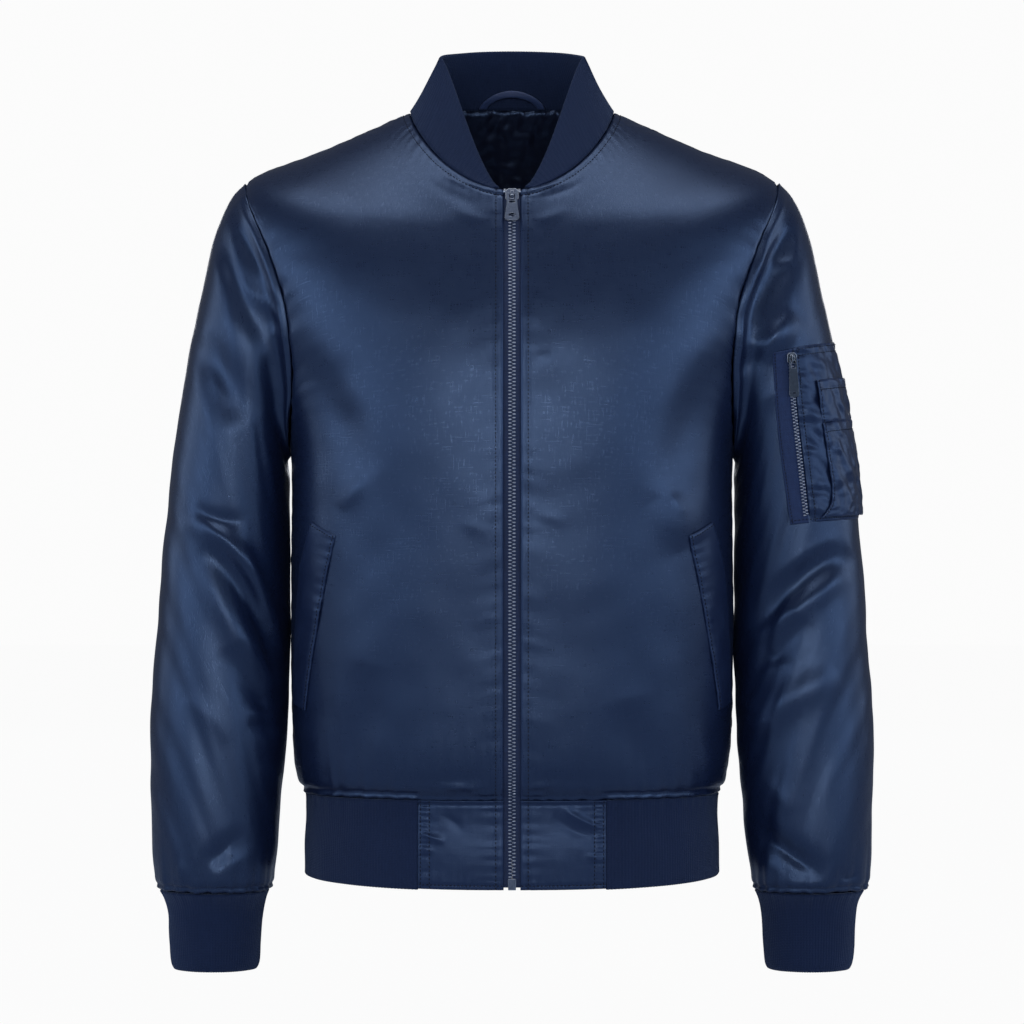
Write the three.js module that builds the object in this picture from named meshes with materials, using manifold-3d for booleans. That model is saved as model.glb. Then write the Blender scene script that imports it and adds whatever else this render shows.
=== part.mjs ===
// A satin bomber jacket, zipped up and filled out as if worn, with nobody in it.
// Millimetres, +Z up, the front faces -Y and the wearer's left is +X.
// The origin is on the middle plane, level with the neck points of the shoulder seams.
import * as THREE from "three";
import { mergeVertices } from "three/addons/utils/BufferGeometryUtils.js";
import Module from "manifold-3d";

const wasm = await Module();
wasm.setup();

// Cloth and seams
const CLOTH = 2; // shell, filling and lining of a panel
const RIB_KNIT = 3; // a rib knit folded double
const TAPE = 1; // woven tape and yoke lining
const POCKET_CLOTH = 1.2;
const GAP = 0.3; // between pieces at a seam
const LIE = 0.9; // between a panel and what lies on it
const CELL = 27; // about the size of a panel's facets
const RIB_PITCH = 7; // two or three of the knit's fine ribs
const RIB_HEIGHT = 0.5;

// The torso, from the hem's edge (row 0) to the neck seam (last row).
// side, front, back: heights of the ring there. width: half across. fore, aft: depths. square: 2 is an ellipse.
const TORSO = [
  { side: -655, front: -659, back: -655, width: 180, fore: 122, aft: 113, square: 2.3 },
  { side: -630, front: -630, back: -630, width: 180, fore: 122, aft: 113, square: 2.3 },
  { side: -603, front: -602, back: -603, width: 178.5, fore: 120, aft: 111, square: 2.3 },
  { side: -586, front: -584, back: -586, width: 179, fore: 121, aft: 112, square: 2.3 },
  { side: -571, front: -569, back: -571, width: 186, fore: 129, aft: 120, square: 2.3 },
  { side: -545, front: -543, back: -545, width: 190, fore: 133, aft: 124, square: 2.3 },
  { side: -480, front: -478, back: -480, width: 192, fore: 135, aft: 125, square: 2.3 },
  { side: -390, front: -390, back: -390, width: 192, fore: 136, aft: 125, square: 2.3 },
  { side: -290, front: -296, back: -290, width: 192, fore: 136, aft: 128, square: 2.3 },
  { side: -230, front: -241, back: -226, width: 205, fore: 133, aft: 131, square: 2.25 },
  { side: -166, front: -188, back: -160, width: 222, fore: 126, aft: 130, square: 2.2 },
  { side: -108, front: -143, back: -98, width: 240, fore: 115, aft: 118, square: 2.1 },
  { side: -58, front: -109, back: -43, width: 231, fore: 103, aft: 98, square: 2.05 },
  { side: -27, front: -89, back: -13, width: 161, fore: 95, aft: 81, square: 2 },
  { side: 5, front: -70, back: 13, width: 89, fore: 86, aft: 64, square: 2 },
];
const HEM_SEAM = 3;
const ARMPIT = 8;
const SHOULDER_TIP = 12;
const NECK = TORSO.length - 1;
const RING_DIP = 1.5; // how sharply a ring turns down to its front and back heights
const ARMHOLE_FORE = 70; // how far the armhole reaches forward
const ARMHOLE_AFT = 68; // and back

// A sleeve, from the armhole (row 0) to the cuff's seam, as on the wearer's left.
// outer and inner are the points furthest from the body and nearest to it. depth: half front to back.
const SLEEVE = [
  { outerX: 231, outerZ: -58, innerX: 192, innerZ: -290, depth: 69, middle: -1 },
  { outerX: 244, outerZ: -71, innerX: 194, innerZ: -297, depth: 66, middle: 4 },
  { outerX: 259, outerZ: -105, innerX: 194, innerZ: -308, depth: 68, middle: 6 },
  { outerX: 271, outerZ: -157, innerX: 193.8, innerZ: -325, depth: 68, middle: 7 },
  { outerX: 284, outerZ: -221, innerX: 193.5, innerZ: -349, depth: 67, middle: 6 },
  { outerX: 295, outerZ: -297, innerX: 193.3, innerZ: -386, depth: 65, middle: 4 },
  { outerX: 303, outerZ: -375, innerX: 193.2, innerZ: -433, depth: 63, middle: 1 },
  { outerX: 309, outerZ: -450, innerX: 193.2, innerZ: -486, depth: 62, middle: -4 },
  { outerX: 312.5, outerZ: -523, innerX: 195.6, innerZ: -541, depth: 60, middle: -10 },
  { outerX: 312.3, outerZ: -589, innerX: 200.2, innerZ: -597, depth: 58, middle: -15 },
  { outerX: 311, outerZ: -631, innerX: 203.6, innerZ: -635, depth: 56, middle: -18 },
  { outerX: 308.3, outerZ: -655, innerX: 206.3, innerZ: -657, depth: 53, middle: -19 },
  { outerX: 305, outerZ: -667.5, innerX: 209, innerZ: -668.5, depth: 47, middle: -20 },
];
const SLEEVE_SQUARE = 2.1;
const SLEEVE_END = SLEEVE.length - 1;
const SLEEVE_COLUMNS = 24;
const ARMHOLE_FADE = 3; // rows over which a sleeve leaves the armhole's own outline
const ARMHOLE_MIDDLE = { x: 212, z: -176 };

// A cuff, from its seam to its edge.
const CUFF = [
  { z: -669, centre: 257, half: 47, depth: 45, middle: -20 },
  { z: -677, centre: 256.4, half: 43.4, depth: 40.5, middle: -20 },
  { z: -690, centre: 256.2, half: 40.8, depth: 36.5, middle: -20.5 },
  { z: -727, centre: 256.2, half: 38.4, depth: 33, middle: -21.5 },
  { z: -736, centre: 256.2, half: 35.6, depth: 30.5, middle: -22 },
];

// Folds: a soft ridge (lift over 0) or trough (under 0) from one point of the front or back view to another,
// with its half-width and the bow of its line. facing: -1 front, 1 back. x is distance from the middle plane.
const SLEEVE_FOLDS = {
  left: [
    { facing: -1, x0: 243, z0: -97, x1: 193, z1: -192, width: 11, lift: -7, bow: -4 },
    { facing: -1, x0: 243, z0: -175, x1: 213, z1: -212, width: 11, lift: 5, bow: 0 },
    { facing: -1, x0: 292, z0: -376, x1: 203, z1: -444, width: 14, lift: -8, bow: 8 },
    { facing: -1, x0: 290, z0: -390, x1: 216, z1: -462, width: 11, lift: 5, bow: 9 },
    { facing: -1, x0: 246, z0: -430, x1: 202, z1: -508, width: 13, lift: -7, bow: 5 },
    { facing: -1, x0: 276, z0: -478, x1: 204, z1: -534, width: 13, lift: 4, bow: 4 },
    { facing: -1, x0: 203, z0: -607, x1: 266, z1: -654, width: 11, lift: -8, bow: 4 },
    { facing: 1, x0: 284, z0: -352, x1: 205, z1: -415, width: 15, lift: -8, bow: 8 },
    { facing: 1, x0: 292, z0: -405, x1: 206, z1: -446, width: 13, lift: 6, bow: 8 },
    { facing: 1, x0: 298, z0: -452, x1: 212, z1: -490, width: 14, lift: -7, bow: -8 },
    { facing: 1, x0: 250, z0: -104, x1: 205, z1: -215, width: 13, lift: -6, bow: -6 },
    { facing: 1, x0: 300, z0: -596, x1: 226, z1: -652, width: 12, lift: -7, bow: 4 },
  ],
  right: [
    { facing: -1, x0: 252, z0: -96, x1: 203, z1: -204, width: 12, lift: -6, bow: -5 },
    { facing: -1, x0: 268, z0: -188, x1: 230, z1: -268, width: 16, lift: -6, bow: 0 },
    { facing: -1, x0: 276, z0: -346, x1: 207, z1: -438, width: 11, lift: 5, bow: 13 },
    { facing: -1, x0: 256, z0: -368, x1: 197, z1: -488, width: 12, lift: -8, bow: 5 },
    { facing: -1, x0: 262, z0: -384, x1: 201, z1: -500, width: 12, lift: 5, bow: -3 },
    { facing: -1, x0: 240, z0: -456, x1: 200, z1: -534, width: 12, lift: -6, bow: 3 },
    { facing: -1, x0: 218, z0: -616, x1: 262, z1: -654, width: 10, lift: -7, bow: -5 },
    { facing: 1, x0: 280, z0: -345, x1: 206, z1: -408, width: 14, lift: -8, bow: 9 },
    { facing: 1, x0: 296, z0: -396, x1: 208, z1: -455, width: 14, lift: 6, bow: 6 },
    { facing: 1, x0: 296, z0: -466, x1: 214, z1: -498, width: 13, lift: -7, bow: -6 },
    { facing: 1, x0: 252, z0: -100, x1: 206, z1: -208, width: 14, lift: -6, bow: -6 },
    { facing: 1, x0: 296, z0: -602, x1: 224, z1: -656, width: 12, lift: -7, bow: 3 },
  ],
};
// On the torso x is to the wearer's left.
const TORSO_FOLDS = [
  { facing: -1, x0: 196, z0: -196, x1: 128, z1: -330, width: 20, lift: -4, bow: 8 },
  { facing: -1, x0: -196, z0: -196, x1: -124, z1: -318, width: 20, lift: -4, bow: -8 },
  { facing: -1, x0: 128, z0: -330, x1: 150, z1: -372, width: 18, lift: 3, bow: 0 },
  { facing: -1, x0: -118, z0: -470, x1: -134, z1: -574, width: 16, lift: -3, bow: 0 },
  { facing: -1, x0: 96, z0: -500, x1: 116, z1: -576, width: 16, lift: -3, bow: 0 },
  { facing: 1, x0: 190, z0: -226, x1: 74, z1: -342, width: 20, lift: -6, bow: 12 },
  { facing: 1, x0: -190, z0: -220, x1: -82, z1: -336, width: 20, lift: -6, bow: -12 },
  { facing: 1, x0: 178, z0: -330, x1: 62, z1: -440, width: 20, lift: -5, bow: 10 },
  { facing: 1, x0: -176, z0: -338, x1: -70, z1: -446, width: 20, lift: -5, bow: -10 },
  { facing: 1, x0: -92, z0: -478, x1: 92, z1: -488, width: 16, lift: -4, bow: 10 },
  { facing: 1, x0: 118, z0: -500, x1: 128, z1: -576, width: 15, lift: -4, bow: 0 },
  { facing: 1, x0: -40, z0: -512, x1: -48, z1: -577, width: 15, lift: -4, bow: 0 },
];

// The collar: its top edge, seen from above an ellipse, drops to a V at the zip.
const COLLAR = { width: 63, fore: 88, aft: 53, side: 53, front: -76, back: 64.5, dip: 3, pull: 2.7 };
const COLLAR_START = 9; // degrees from the middle of the front
const COLLAR_BULGE = -1.5;

// The front zip
const ZIP = { opening: 8, tape: 16, chain: 3.2, depth: 1.2, top: 13.66, bottom: 0.12 };
// A slider: half across, half along, its plates, and the bridge that holds the pull.
const SLIDER = { half: 5.5, length: 6, plate: 1.6, bridge: 1.3, arch: 2.2, rise: 2.6, rod: 1.2, neck: 2.2 };
const PULL = { length: 26, neck: 4.4, end: 6.1, window: 2.6, windowLength: 11, thick: 1.4, hole: 3.1 };
const HINGE_LIFT = 1.3; // from a slider's plate to its pull's hinge line

// The hem's satin ends reach this far from the middle.
const HEM_END = 79;

// A hand pocket's welt: heights of its sewn edge, the rise to its free edge, and its edges in degrees round.
const WELT = [
  { z: -512, rise: 6, sewn: 65, free: 77 },
  { z: -446, rise: 8, sewn: 57.4, free: 73 },
  { z: -400, rise: 10, sewn: 52.5, free: 68.5 },
  { z: -363, rise: 12, sewn: 48.1, free: 60.5 },
];
const WELT_THICK = 1.6;

// The pocket on the left sleeve: its front edge and the middle of its zip, by height.
const POCKET = [
  { z: -354, edge: 237.5, teeth: 251 },
  { z: -300, edge: 229.8, teeth: 245 },
  { z: -252, edge: 224.7, teeth: 239.6 },
  { z: -208, edge: 222, teeth: 236.5 },
];
const POCKET_END = 124; // degrees round the sleeve from the front
const POCKET_RISE = 12; // of the top edge, from the front round to the back
const POCKET_ZIP = { half: 2.2, depth: 0.9, from: 0.2, slider: 2.86 };
const POCKET_SLIDER = { half: 4.2, length: 4.5, plate: 1.3, bridge: 1.1, arch: 1.9, rise: 2.4, rod: 1, neck: 0 };
const POCKET_PULL = { length: 33, neck: 3.5, end: 4.4, window: 2.2, windowLength: 10, thick: 1.2, hole: 1.5 };

// The two pen pockets on it, by height, and how far the lower one puffs out.
const PEN_UPPER = [
  { z: -266.5, near: 263.5 },
  { z: -231, near: 258.5 },
];
const PEN_LOWER = [
  { z: -348, near: 263 },
  { z: -332, near: 271.5 },
  { z: -300, near: 268.5 },
  { z: -267, near: 263.5 },
];
const PEN_END = 104;
const PEN_PUFF = 1.6;
const PEN_LIE = 2.16; // from the sleeve, over the patch's own lift

// The back neck: a lining yoke under the collar and a hanging loop on it.
// round and tall: the collar's radius and height there.
const LINING = { reach: 80, low: 11.7 };
const LOOP = { half: 22.5, rise: 14, width: 6, bulge: 6.5, thick: 1.5, round: 75, tall: 52 };

const cloth = (color, roughness) => new THREE.MeshStandardMaterial({ color, roughness, metalness: 0 });
const satin = cloth(0x24365f, 0.42);
const lining = cloth(0x121a33, 0.5);
const knit = cloth(0x1b2a4a, 0.9);
const tape = cloth(0x24324f, 0.8);
const metal = new THREE.MeshStandardMaterial({ color: 0x2b3242, roughness: 0.35, metalness: 0.9 });

const radians = THREE.MathUtils.degToRad;
const clamp = THREE.MathUtils.clamp;
const power = (value, exponent) => Math.sign(value) * Math.abs(value) ** exponent;
const mix = THREE.MathUtils.lerp;

// A column of a table at a row number that need not be whole, on a smooth curve through the rows.
function read(table, column, at) {
  const row = clamp(Math.floor(at), 0, table.length - 2);
  const t = at - row;
  const value = (n) => table[clamp(n, 0, table.length - 1)][column];
  const [before, from, to, after] = [value(row - 1), value(row), value(row + 1), value(row + 2)];
  const start = (to - before) / 2;
  const end = (after - from) / 2;
  return (
    from + t * (start + t * (3 * (to - from) - 2 * start - end + t * (2 * (from - to) + start + end)))
  );
}

// Row numbers from one to another, close enough that facets stay about a cell long.
function rows(table, columns, from, to, cell = CELL) {
  const found = [from];
  for (let row = Math.floor(from); row < to; row++) {
    const [low, high] = [Math.max(row, from), Math.min(row + 1, to)];
    const span = Math.max(...columns.map((c) => Math.abs(read(table, c, high) - read(table, c, low))));
    const steps = Math.max(1, Math.round(span / cell));
    for (let step = 1; step <= steps; step++) found.push(mix(low, high, step / steps));
  }
  return found;
}

// How far the folds lift a point of the front or back view, which faces that way by turn.
function foldLift(folds, x, z, facing, turn) {
  let lift = 0;
  for (const fold of folds) {
    if (fold.facing !== facing) continue;
    const [dx, dz] = [fold.x1 - fold.x0, fold.z1 - fold.z0];
    const length = Math.hypot(dx, dz);
    const along = ((x - fold.x0) * dx + (z - fold.z0) * dz) / length ** 2;
    if (along <= 0 || along >= 1) continue;
    const across = ((x - fold.x0) * dz - (z - fold.z0) * dx) / length - fold.bow * 4 * along * (1 - along);
    lift += fold.lift * Math.sin(Math.PI * along) * Math.exp(-((across / fold.width) ** 2));
  }
  return lift * clamp(turn * 2.5, 0, 1);
}

// A point of the bare torso form, at an angle round from the front towards the wearer's left.
function torsoForm(angle, row) {
  const get = (column) => read(TORSO, column, row);
  const [sine, cosine] = [Math.sin(radians(angle)), Math.cos(radians(angle))];
  const square = 2 / get("square");
  const [reach, height] = cosine > 0 ? [-get("fore"), get("front")] : [get("aft"), get("back")];
  return new THREE.Vector3(
    get("width") * power(sine, square),
    reach * Math.abs(cosine) ** square,
    get("side") + (height - get("side")) * Math.abs(cosine) ** RING_DIP,
  );
}

// Unit normal of a form by small steps, one-sided at the ends of its rows.
function normalOf(form, angle, row, end) {
  const [turn, move] = [0.4, 0.03];
  const low = Math.max(0, row - move);
  const high = Math.min(end, row + move);
  const across = form(angle + turn, row).sub(form(angle - turn, row));
  const along = form(angle, high).sub(form(angle, low));
  return across.cross(along).normalize();
}

// The torso with its folds.
function torsoSkin(angle, row) {
  const point = torsoForm(angle, row);
  const cosine = Math.cos(radians(angle));
  const lift = foldLift(TORSO_FOLDS, point.x, point.z, cosine > 0 ? -1 : 1, Math.abs(cosine));
  return point.addScaledVector(normalOf(torsoForm, angle, row, NECK), lift);
}

// The torso's skin, moved out by a lift.
function torso(angle, row, lift = 0) {
  return torsoSkin(angle, row).addScaledVector(normalOf(torsoSkin, angle, row, NECK), lift);
}

// Angle of the point that lies a given distance from the middle plane, on the front.
function angleAt(x, row) {
  const share = x / read(TORSO, "width", row);
  return THREE.MathUtils.radToDeg(Math.asin(share ** (read(TORSO, "square", row) / 2)));
}

// Angle at which a panel ends: at the side or shoulder seam, or round the armhole between them.
function panelEdge(row, onFront) {
  const share = clamp((SHOULDER_TIP - row) / (SHOULDER_TIP - ARMPIT), 0, 1);
  const open = (onFront ? ARMHOLE_FORE : ARMHOLE_AFT) * Math.sqrt(4 * share * (1 - share));
  const depth = Math.max(GAP, open) / read(TORSO, onFront ? "fore" : "aft", row);
  const angle = THREE.MathUtils.radToDeg(Math.acos(depth ** (read(TORSO, "square", row) / 2)));
  return onFront ? angle : 180 - angle;
}

// A point of the bare sleeve form on the wearer's left: around is 0 in front, 90 outside, 270 by the body.
function sleeveForm(around, row) {
  const [sine, cosine] = [Math.sin(radians(around)), Math.cos(radians(around))];
  const tube = (at) => {
    const value = (column) => read(SLEEVE, column, at);
    const spread = power(sine, 2 / SLEEVE_SQUARE) / 2;
    return new THREE.Vector3(
      (value("outerX") + value("innerX")) / 2 + (value("outerX") - value("innerX")) * spread,
      value("middle") - value("depth") * power(cosine, 2 / SLEEVE_SQUARE),
      (value("outerZ") + value("innerZ")) / 2 + (value("outerZ") - value("innerZ")) * spread,
    );
  };
  const point = tube(row);
  if (row >= ARMHOLE_FADE) return point;
  const seamRow = mix(SHOULDER_TIP, ARMPIT, (1 - sine) / 2);
  const seam = torsoForm(panelEdge(seamRow, cosine > 0), seamRow);
  const fade = (1 - row / ARMHOLE_FADE) ** 2;
  return point.addScaledVector(seam.sub(tube(0)), fade);
}

// A sleeve's skin with its folds and a lift; side is 1 on the wearer's left and -1 on the right.
function sleeve(side, around, row, lift = 0) {
  const folds = side > 0 ? SLEEVE_FOLDS.left : SLEEVE_FOLDS.right;
  const skin = (angle, at) => {
    const point = sleeveForm(angle, at);
    const cosine = Math.cos(radians(angle));
    const rise = foldLift(folds, point.x, point.z, cosine > 0 ? -1 : 1, Math.abs(cosine));
    return point.addScaledVector(normalOf(sleeveForm, angle, at, SLEEVE_END), -rise);
  };
  const point = skin(around, row).addScaledVector(normalOf(skin, around, row, SLEEVE_END), -lift);
  point.x *= side;
  return point;
}

// Row of the sleeve at which the line at one angle comes down to a height.
function sleeveRow(around, z) {
  let [low, high] = [0, SLEEVE_END];
  for (let step = 0; step < 24; step++) {
    const middle = (low + high) / 2;
    if (sleeveForm(around, middle).z > z) low = middle;
    else high = middle;
  }
  return low;
}

// A closed wall between an outside and an inside, each a function of a share across and a row.
// every: outside columns for one inside column, so that ribs stand on a plain inside.
function wall({ columns, along, outside, inside, closed = false, every = 1 }) {
  const positions = [];
  const faces = [];
  const layer = (count, surface) => {
    const first = positions.length / 3;
    const ring = closed ? count : count + 1;
    for (const row of along)
      for (let c = 0; c < ring; c++) positions.push(...surface(c / count, row).toArray());
    return (c, r) => first + r * ring + (c % ring);
  };
  const inner = columns / every;
  const out = layer(columns, outside);
  const back = layer(inner, inside);
  const top = along.length - 1;
  for (let r = 0; r < top; r++) {
    for (let c = 0; c < columns; c++)
      faces.push(out(c, r), out(c + 1, r), out(c + 1, r + 1), out(c, r), out(c + 1, r + 1), out(c, r + 1));
    for (let c = 0; c < inner; c++)
      faces.push(back(c, r), back(c + 1, r + 1), back(c + 1, r), back(c, r), back(c, r + 1), back(c + 1, r + 1));
    if (closed) continue;
    faces.push(out(0, r), out(0, r + 1), back(0, r + 1), out(0, r), back(0, r + 1), back(0, r));
    const [o, i] = [columns, inner];
    faces.push(out(o, r + 1), out(o, r), back(i, r), out(o, r + 1), back(i, r), back(i, r + 1));
  }
  for (let c = 0; c < inner; c++) {
    const middle = c * every + Math.ceil(every / 2);
    faces.push(back(c, 0), back(c + 1, 0), out(middle, 0));
    faces.push(back(c + 1, top), back(c, top), out(middle, top));
    for (let o = c * every; o < (c + 1) * every; o++) {
      const near = o < middle ? c : c + 1;
      faces.push(out(o + 1, 0), out(o, 0), back(near, 0));
      faces.push(out(o, top), out(o + 1, top), back(near, top));
    }
  }
  return faceOut(positions, faces);
}

// The geometry of a closed mesh, with its faces turned outwards.
function faceOut(positions, faces) {
  const geometry = new THREE.BufferGeometry();
  geometry.setAttribute("position", new THREE.Float32BufferAttribute(positions, 3));
  const corner = (n) => new THREE.Vector3().fromArray(positions, 3 * n);
  let volume = 0;
  for (let f = 0; f < faces.length; f += 3)
    volume += corner(faces[f]).dot(corner(faces[f + 1]).cross(corner(faces[f + 2])));
  if (volume < 0) for (let f = 0; f < faces.length; f += 3) faces.splice(f, 2, faces[f + 1], faces[f]);
  geometry.setIndex(faces);
  return geometry;
}

// Ribs: every second outside column stands proud.
const ribLift = (share, columns) => (Math.round(share * columns) % 2 ? RIB_HEIGHT : 0);

// An even number of columns for ribs over a length, in steps that the plain inside can follow.
const ribColumns = (length, every) => every * Math.round((2 * length) / RIB_PITCH / every);

const jacket = new THREE.Group();

function add(name, geometry, material) {
  const mesh = new THREE.Mesh(geometry, material);
  mesh.name = name;
  jacket.add(mesh);
  return mesh;
}

// Rows of a body panel: round the armhole each one ends at a column of the sleeve.
function panelRows(depthColumn) {
  const columns = ["side", depthColumn, "width"];
  const below = rows(TORSO, columns, HEM_SEAM + 0.02, ARMPIT);
  const above = rows(TORSO, columns, SHOULDER_TIP, NECK - 0.01);
  const beside = [];
  for (let c = 1; c < SLEEVE_COLUMNS / 2; c++) {
    const share = (1 + Math.cos((2 * Math.PI * c) / SLEEVE_COLUMNS)) / 2;
    beside.push(mix(SHOULDER_TIP, ARMPIT, share));
  }
  return [...below, ...beside, ...above];
}

// A front panel, from the zip to the side seam, armhole and shoulder seam.
function front(side) {
  const at = (lift) => (share, row) => {
    const from = angleAt(ZIP.opening, row);
    return torso(side * mix(from, panelEdge(row, true), share), row, lift);
  };
  return wall({ columns: 11, along: panelRows("front"), outside: at(0), inside: at(-CLOTH) });
}

function back() {
  const at = (lift) => (share, row) => {
    const from = panelEdge(row, false);
    return torso(mix(from, 360 - from, share), row, lift);
  };
  return wall({ columns: 20, along: panelRows("back"), outside: at(0), inside: at(-CLOTH) });
}

function sleevePanel(side) {
  const at = (lift) => (share, row) => {
    const point = sleeve(side, 360 * share, row, lift);
    const inward = new THREE.Vector3(side * ARMHOLE_MIDDLE.x, 0, ARMHOLE_MIDDLE.z).sub(point).normalize();
    return point.addScaledVector(inward, 2.5 * GAP * Math.max(0, 1 - row));
  };
  const along = rows(SLEEVE, ["outerZ", "outerX"], 0, SLEEVE_END, 30);
  return wall({ columns: SLEEVE_COLUMNS, along, outside: at(0), inside: at(-CLOTH), closed: true });
}

function cuff(side) {
  const every = 4;
  const columns = ribColumns(2 * Math.PI * CUFF[0].half, every);
  const at = (lift, ribbed) => (share, row) => {
    const get = (column) => read(CUFF, column, row);
    const reach = lift + (ribbed ? ribLift(share, columns) : 0);
    const turn = 2 * Math.PI * share;
    return new THREE.Vector3(
      side * (get("centre") + (get("half") + reach) * Math.sin(turn)),
      get("middle") - (get("depth") + reach) * Math.cos(turn),
      get("z"),
    );
  };
  const along = CUFF.map((_, n) => n);
  return wall({ columns, along, outside: at(-RIB_HEIGHT, true), inside: at(-RIB_KNIT), closed: true, every });
}

// The hem's knitted band, from one satin end round the back to the other.
function hemBand() {
  const every = 4;
  const columns = ribColumns(800, every);
  const at = (lift, ribbed) => (share, row) => {
    const from = angleAt(HEM_END + GAP, row);
    const raised = ribbed ? ribLift(share, columns) : 0;
    return torso(mix(from, 360 - from, share), row, lift + raised);
  };
  const along = [0, 1, HEM_SEAM - 0.02];
  return wall({ columns, along, outside: at(-RIB_HEIGHT, true), inside: at(-RIB_KNIT), every });
}

// The satin end of the hem beside the zip.
function hemEnd(side) {
  const at = (lift) => (share, row) =>
    torso(side * mix(angleAt(ZIP.opening, row), angleAt(HEM_END, row), share), row, lift);
  return wall({ columns: 4, along: [0, 1, HEM_SEAM - 0.02], outside: at(0), inside: at(-CLOTH) });
}

// A point of the collar, from its seam (height 0) to its top edge (height 1).
function collarForm(angle, height) {
  const seam = torsoForm(angle, NECK);
  const [sine, cosine] = [Math.sin(radians(angle)), Math.cos(radians(angle))];
  const onFront = cosine > 0;
  const edge = new THREE.Vector3(
    COLLAR.width * sine,
    onFront ? -COLLAR.fore * cosine ** COLLAR.pull : -COLLAR.aft * cosine,
    mix(COLLAR.side, onFront ? COLLAR.front : COLLAR.back, Math.abs(cosine) ** (onFront ? COLLAR.dip : 1)),
  );
  edge.z = Math.max(edge.z, seam.z + 4);
  const length = seam.distanceTo(edge);
  const bulge = COLLAR_BULGE * sine ** 2 * Math.min(1, length / 40) * Math.sin(Math.PI * height);
  const outward = new THREE.Vector3(sine, -cosine, 0);
  return seam.lerp(edge, (GAP + 0.2) / length + height * (1 - (GAP + 0.2) / length)).addScaledVector(outward, bulge);
}

function collar() {
  const every = 4;
  const columns = ribColumns(430, every);
  const at = (lift, ribbed) => (share, height) => {
    const angle = mix(COLLAR_START, 360 - COLLAR_START, share);
    const normal = normalOf(collarForm, angle, height, 1);
    return collarForm(angle, height).addScaledVector(normal, lift + (ribbed ? ribLift(share, columns) : 0));
  };
  return wall({ columns, along: [0, 0.5, 1], outside: at(-RIB_HEIGHT, true), inside: at(-RIB_KNIT), every });
}

const TAPE_LIFT = -CLOTH - GAP;
const CHAIN_MIDDLE = TAPE_LIFT - TAPE / 2;

// One of the front zip's tapes, behind the panel's edge.
function zipTape(side) {
  const at = (lift) => (share, row) =>
    torso(side * mix(angleAt(ZIP.chain + GAP, row), angleAt(ZIP.tape, row), share), row, lift);
  const along = rows(TORSO, ["front"], ZIP.bottom, NECK - 0.05);
  return wall({ columns: 1, along, outside: at(TAPE_LIFT), inside: at(TAPE_LIFT - TAPE) });
}

// The closed chain of teeth, as a plain strip.
function zipChain() {
  const at = (lift) => (share, row) => {
    const angle = angleAt(ZIP.chain, row);
    return torso(mix(-angle, angle, share), row, CHAIN_MIDDLE + lift);
  };
  const along = rows(TORSO, ["front"], ZIP.bottom + 0.3, ZIP.top);
  return wall({ columns: 2, along, outside: at(ZIP.depth), inside: at(-ZIP.depth) });
}

// The box at the foot of the zip, in which the chain starts.
function zipBox() {
  const half = ZIP.chain + 0.1;
  const at = (lift) => (share, row) => {
    const angle = angleAt(half, row);
    return torso(mix(-angle, angle, share), row, CHAIN_MIDDLE + lift);
  };
  return wall({ columns: 2, along: [0, ZIP.bottom + 0.28], outside: at(2), inside: at(-2) });
}

function solidOf(geometry) {
  const plain = geometry.clone();
  plain.deleteAttribute("normal");
  plain.deleteAttribute("uv");
  const merged = mergeVertices(plain, 1e-4);
  return new wasm.Manifold(
    new wasm.Mesh({
      numProp: 3,
      vertProperties: merged.attributes.position.array,
      triVerts: new Uint32Array(merged.index.array),
    }),
  );
}

function joined(geometries) {
  const solid = geometries.map(solidOf).reduce((sum, next) => sum.add(next));
  const mesh = solid.getMesh();
  const geometry = new THREE.BufferGeometry();
  geometry.setAttribute("position", new THREE.Float32BufferAttribute(mesh.vertProperties, 3));
  return geometry.setIndex([...mesh.triVerts]);
}

const extrude = (shape, depth) => new THREE.ExtrudeGeometry(shape, { depth, bevelEnabled: false });

// A plate with cut corners, half across and half along, standing on a height.
function plate({ half, length }, low, thick) {
  const cut = half * 0.4;
  const shape = new THREE.Shape();
  shape.moveTo(-half + cut, -length);
  shape.lineTo(half - cut, -length);
  shape.lineTo(half, -length + cut);
  shape.lineTo(half, length - cut);
  shape.lineTo(half - cut, length);
  shape.lineTo(-half + cut, length);
  shape.lineTo(-half, length - cut);
  shape.lineTo(-half, -length + cut);
  return extrude(shape, thick).translate(0, 0, low);
}

// A slider in its own frame: x across the zip, y up it, z out of the cloth, 0 in the middle of the chain.
function slider(size, low) {
  const high = low + size.plate;
  const [inside, outside] = [size.arch, size.arch + size.rod];
  const arch = new THREE.Shape();
  arch.moveTo(-outside, -0.4);
  arch.lineTo(-inside, -0.4);
  arch.lineTo(-inside, size.rise);
  arch.lineTo(inside, size.rise);
  arch.lineTo(inside, -0.4);
  arch.lineTo(outside, -0.4);
  arch.lineTo(outside, size.rise);
  arch.lineTo(inside, size.rise + size.rod);
  arch.lineTo(-inside, size.rise + size.rod);
  arch.lineTo(-outside, size.rise);
  const along = new THREE.Matrix4().makeBasis(
    new THREE.Vector3(0, 1, 0),
    new THREE.Vector3(0, 0, 1),
    new THREE.Vector3(1, 0, 0),
  );
  const bridge = extrude(arch, 2 * size.bridge).translate(0, 0, -size.bridge).applyMatrix4(along);
  const pieces = [plate(size, low, size.plate), bridge.translate(0, 0, high)];
  if (size.neck) {
    const neck = new THREE.BoxGeometry(2 * size.neck, size.length - 2, 2 * low + 1);
    pieces.push(plate(size, -high, size.plate), neck.translate(0, size.length / 2 + 0.5, 0));
  }
  return joined(pieces);
}

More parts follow.
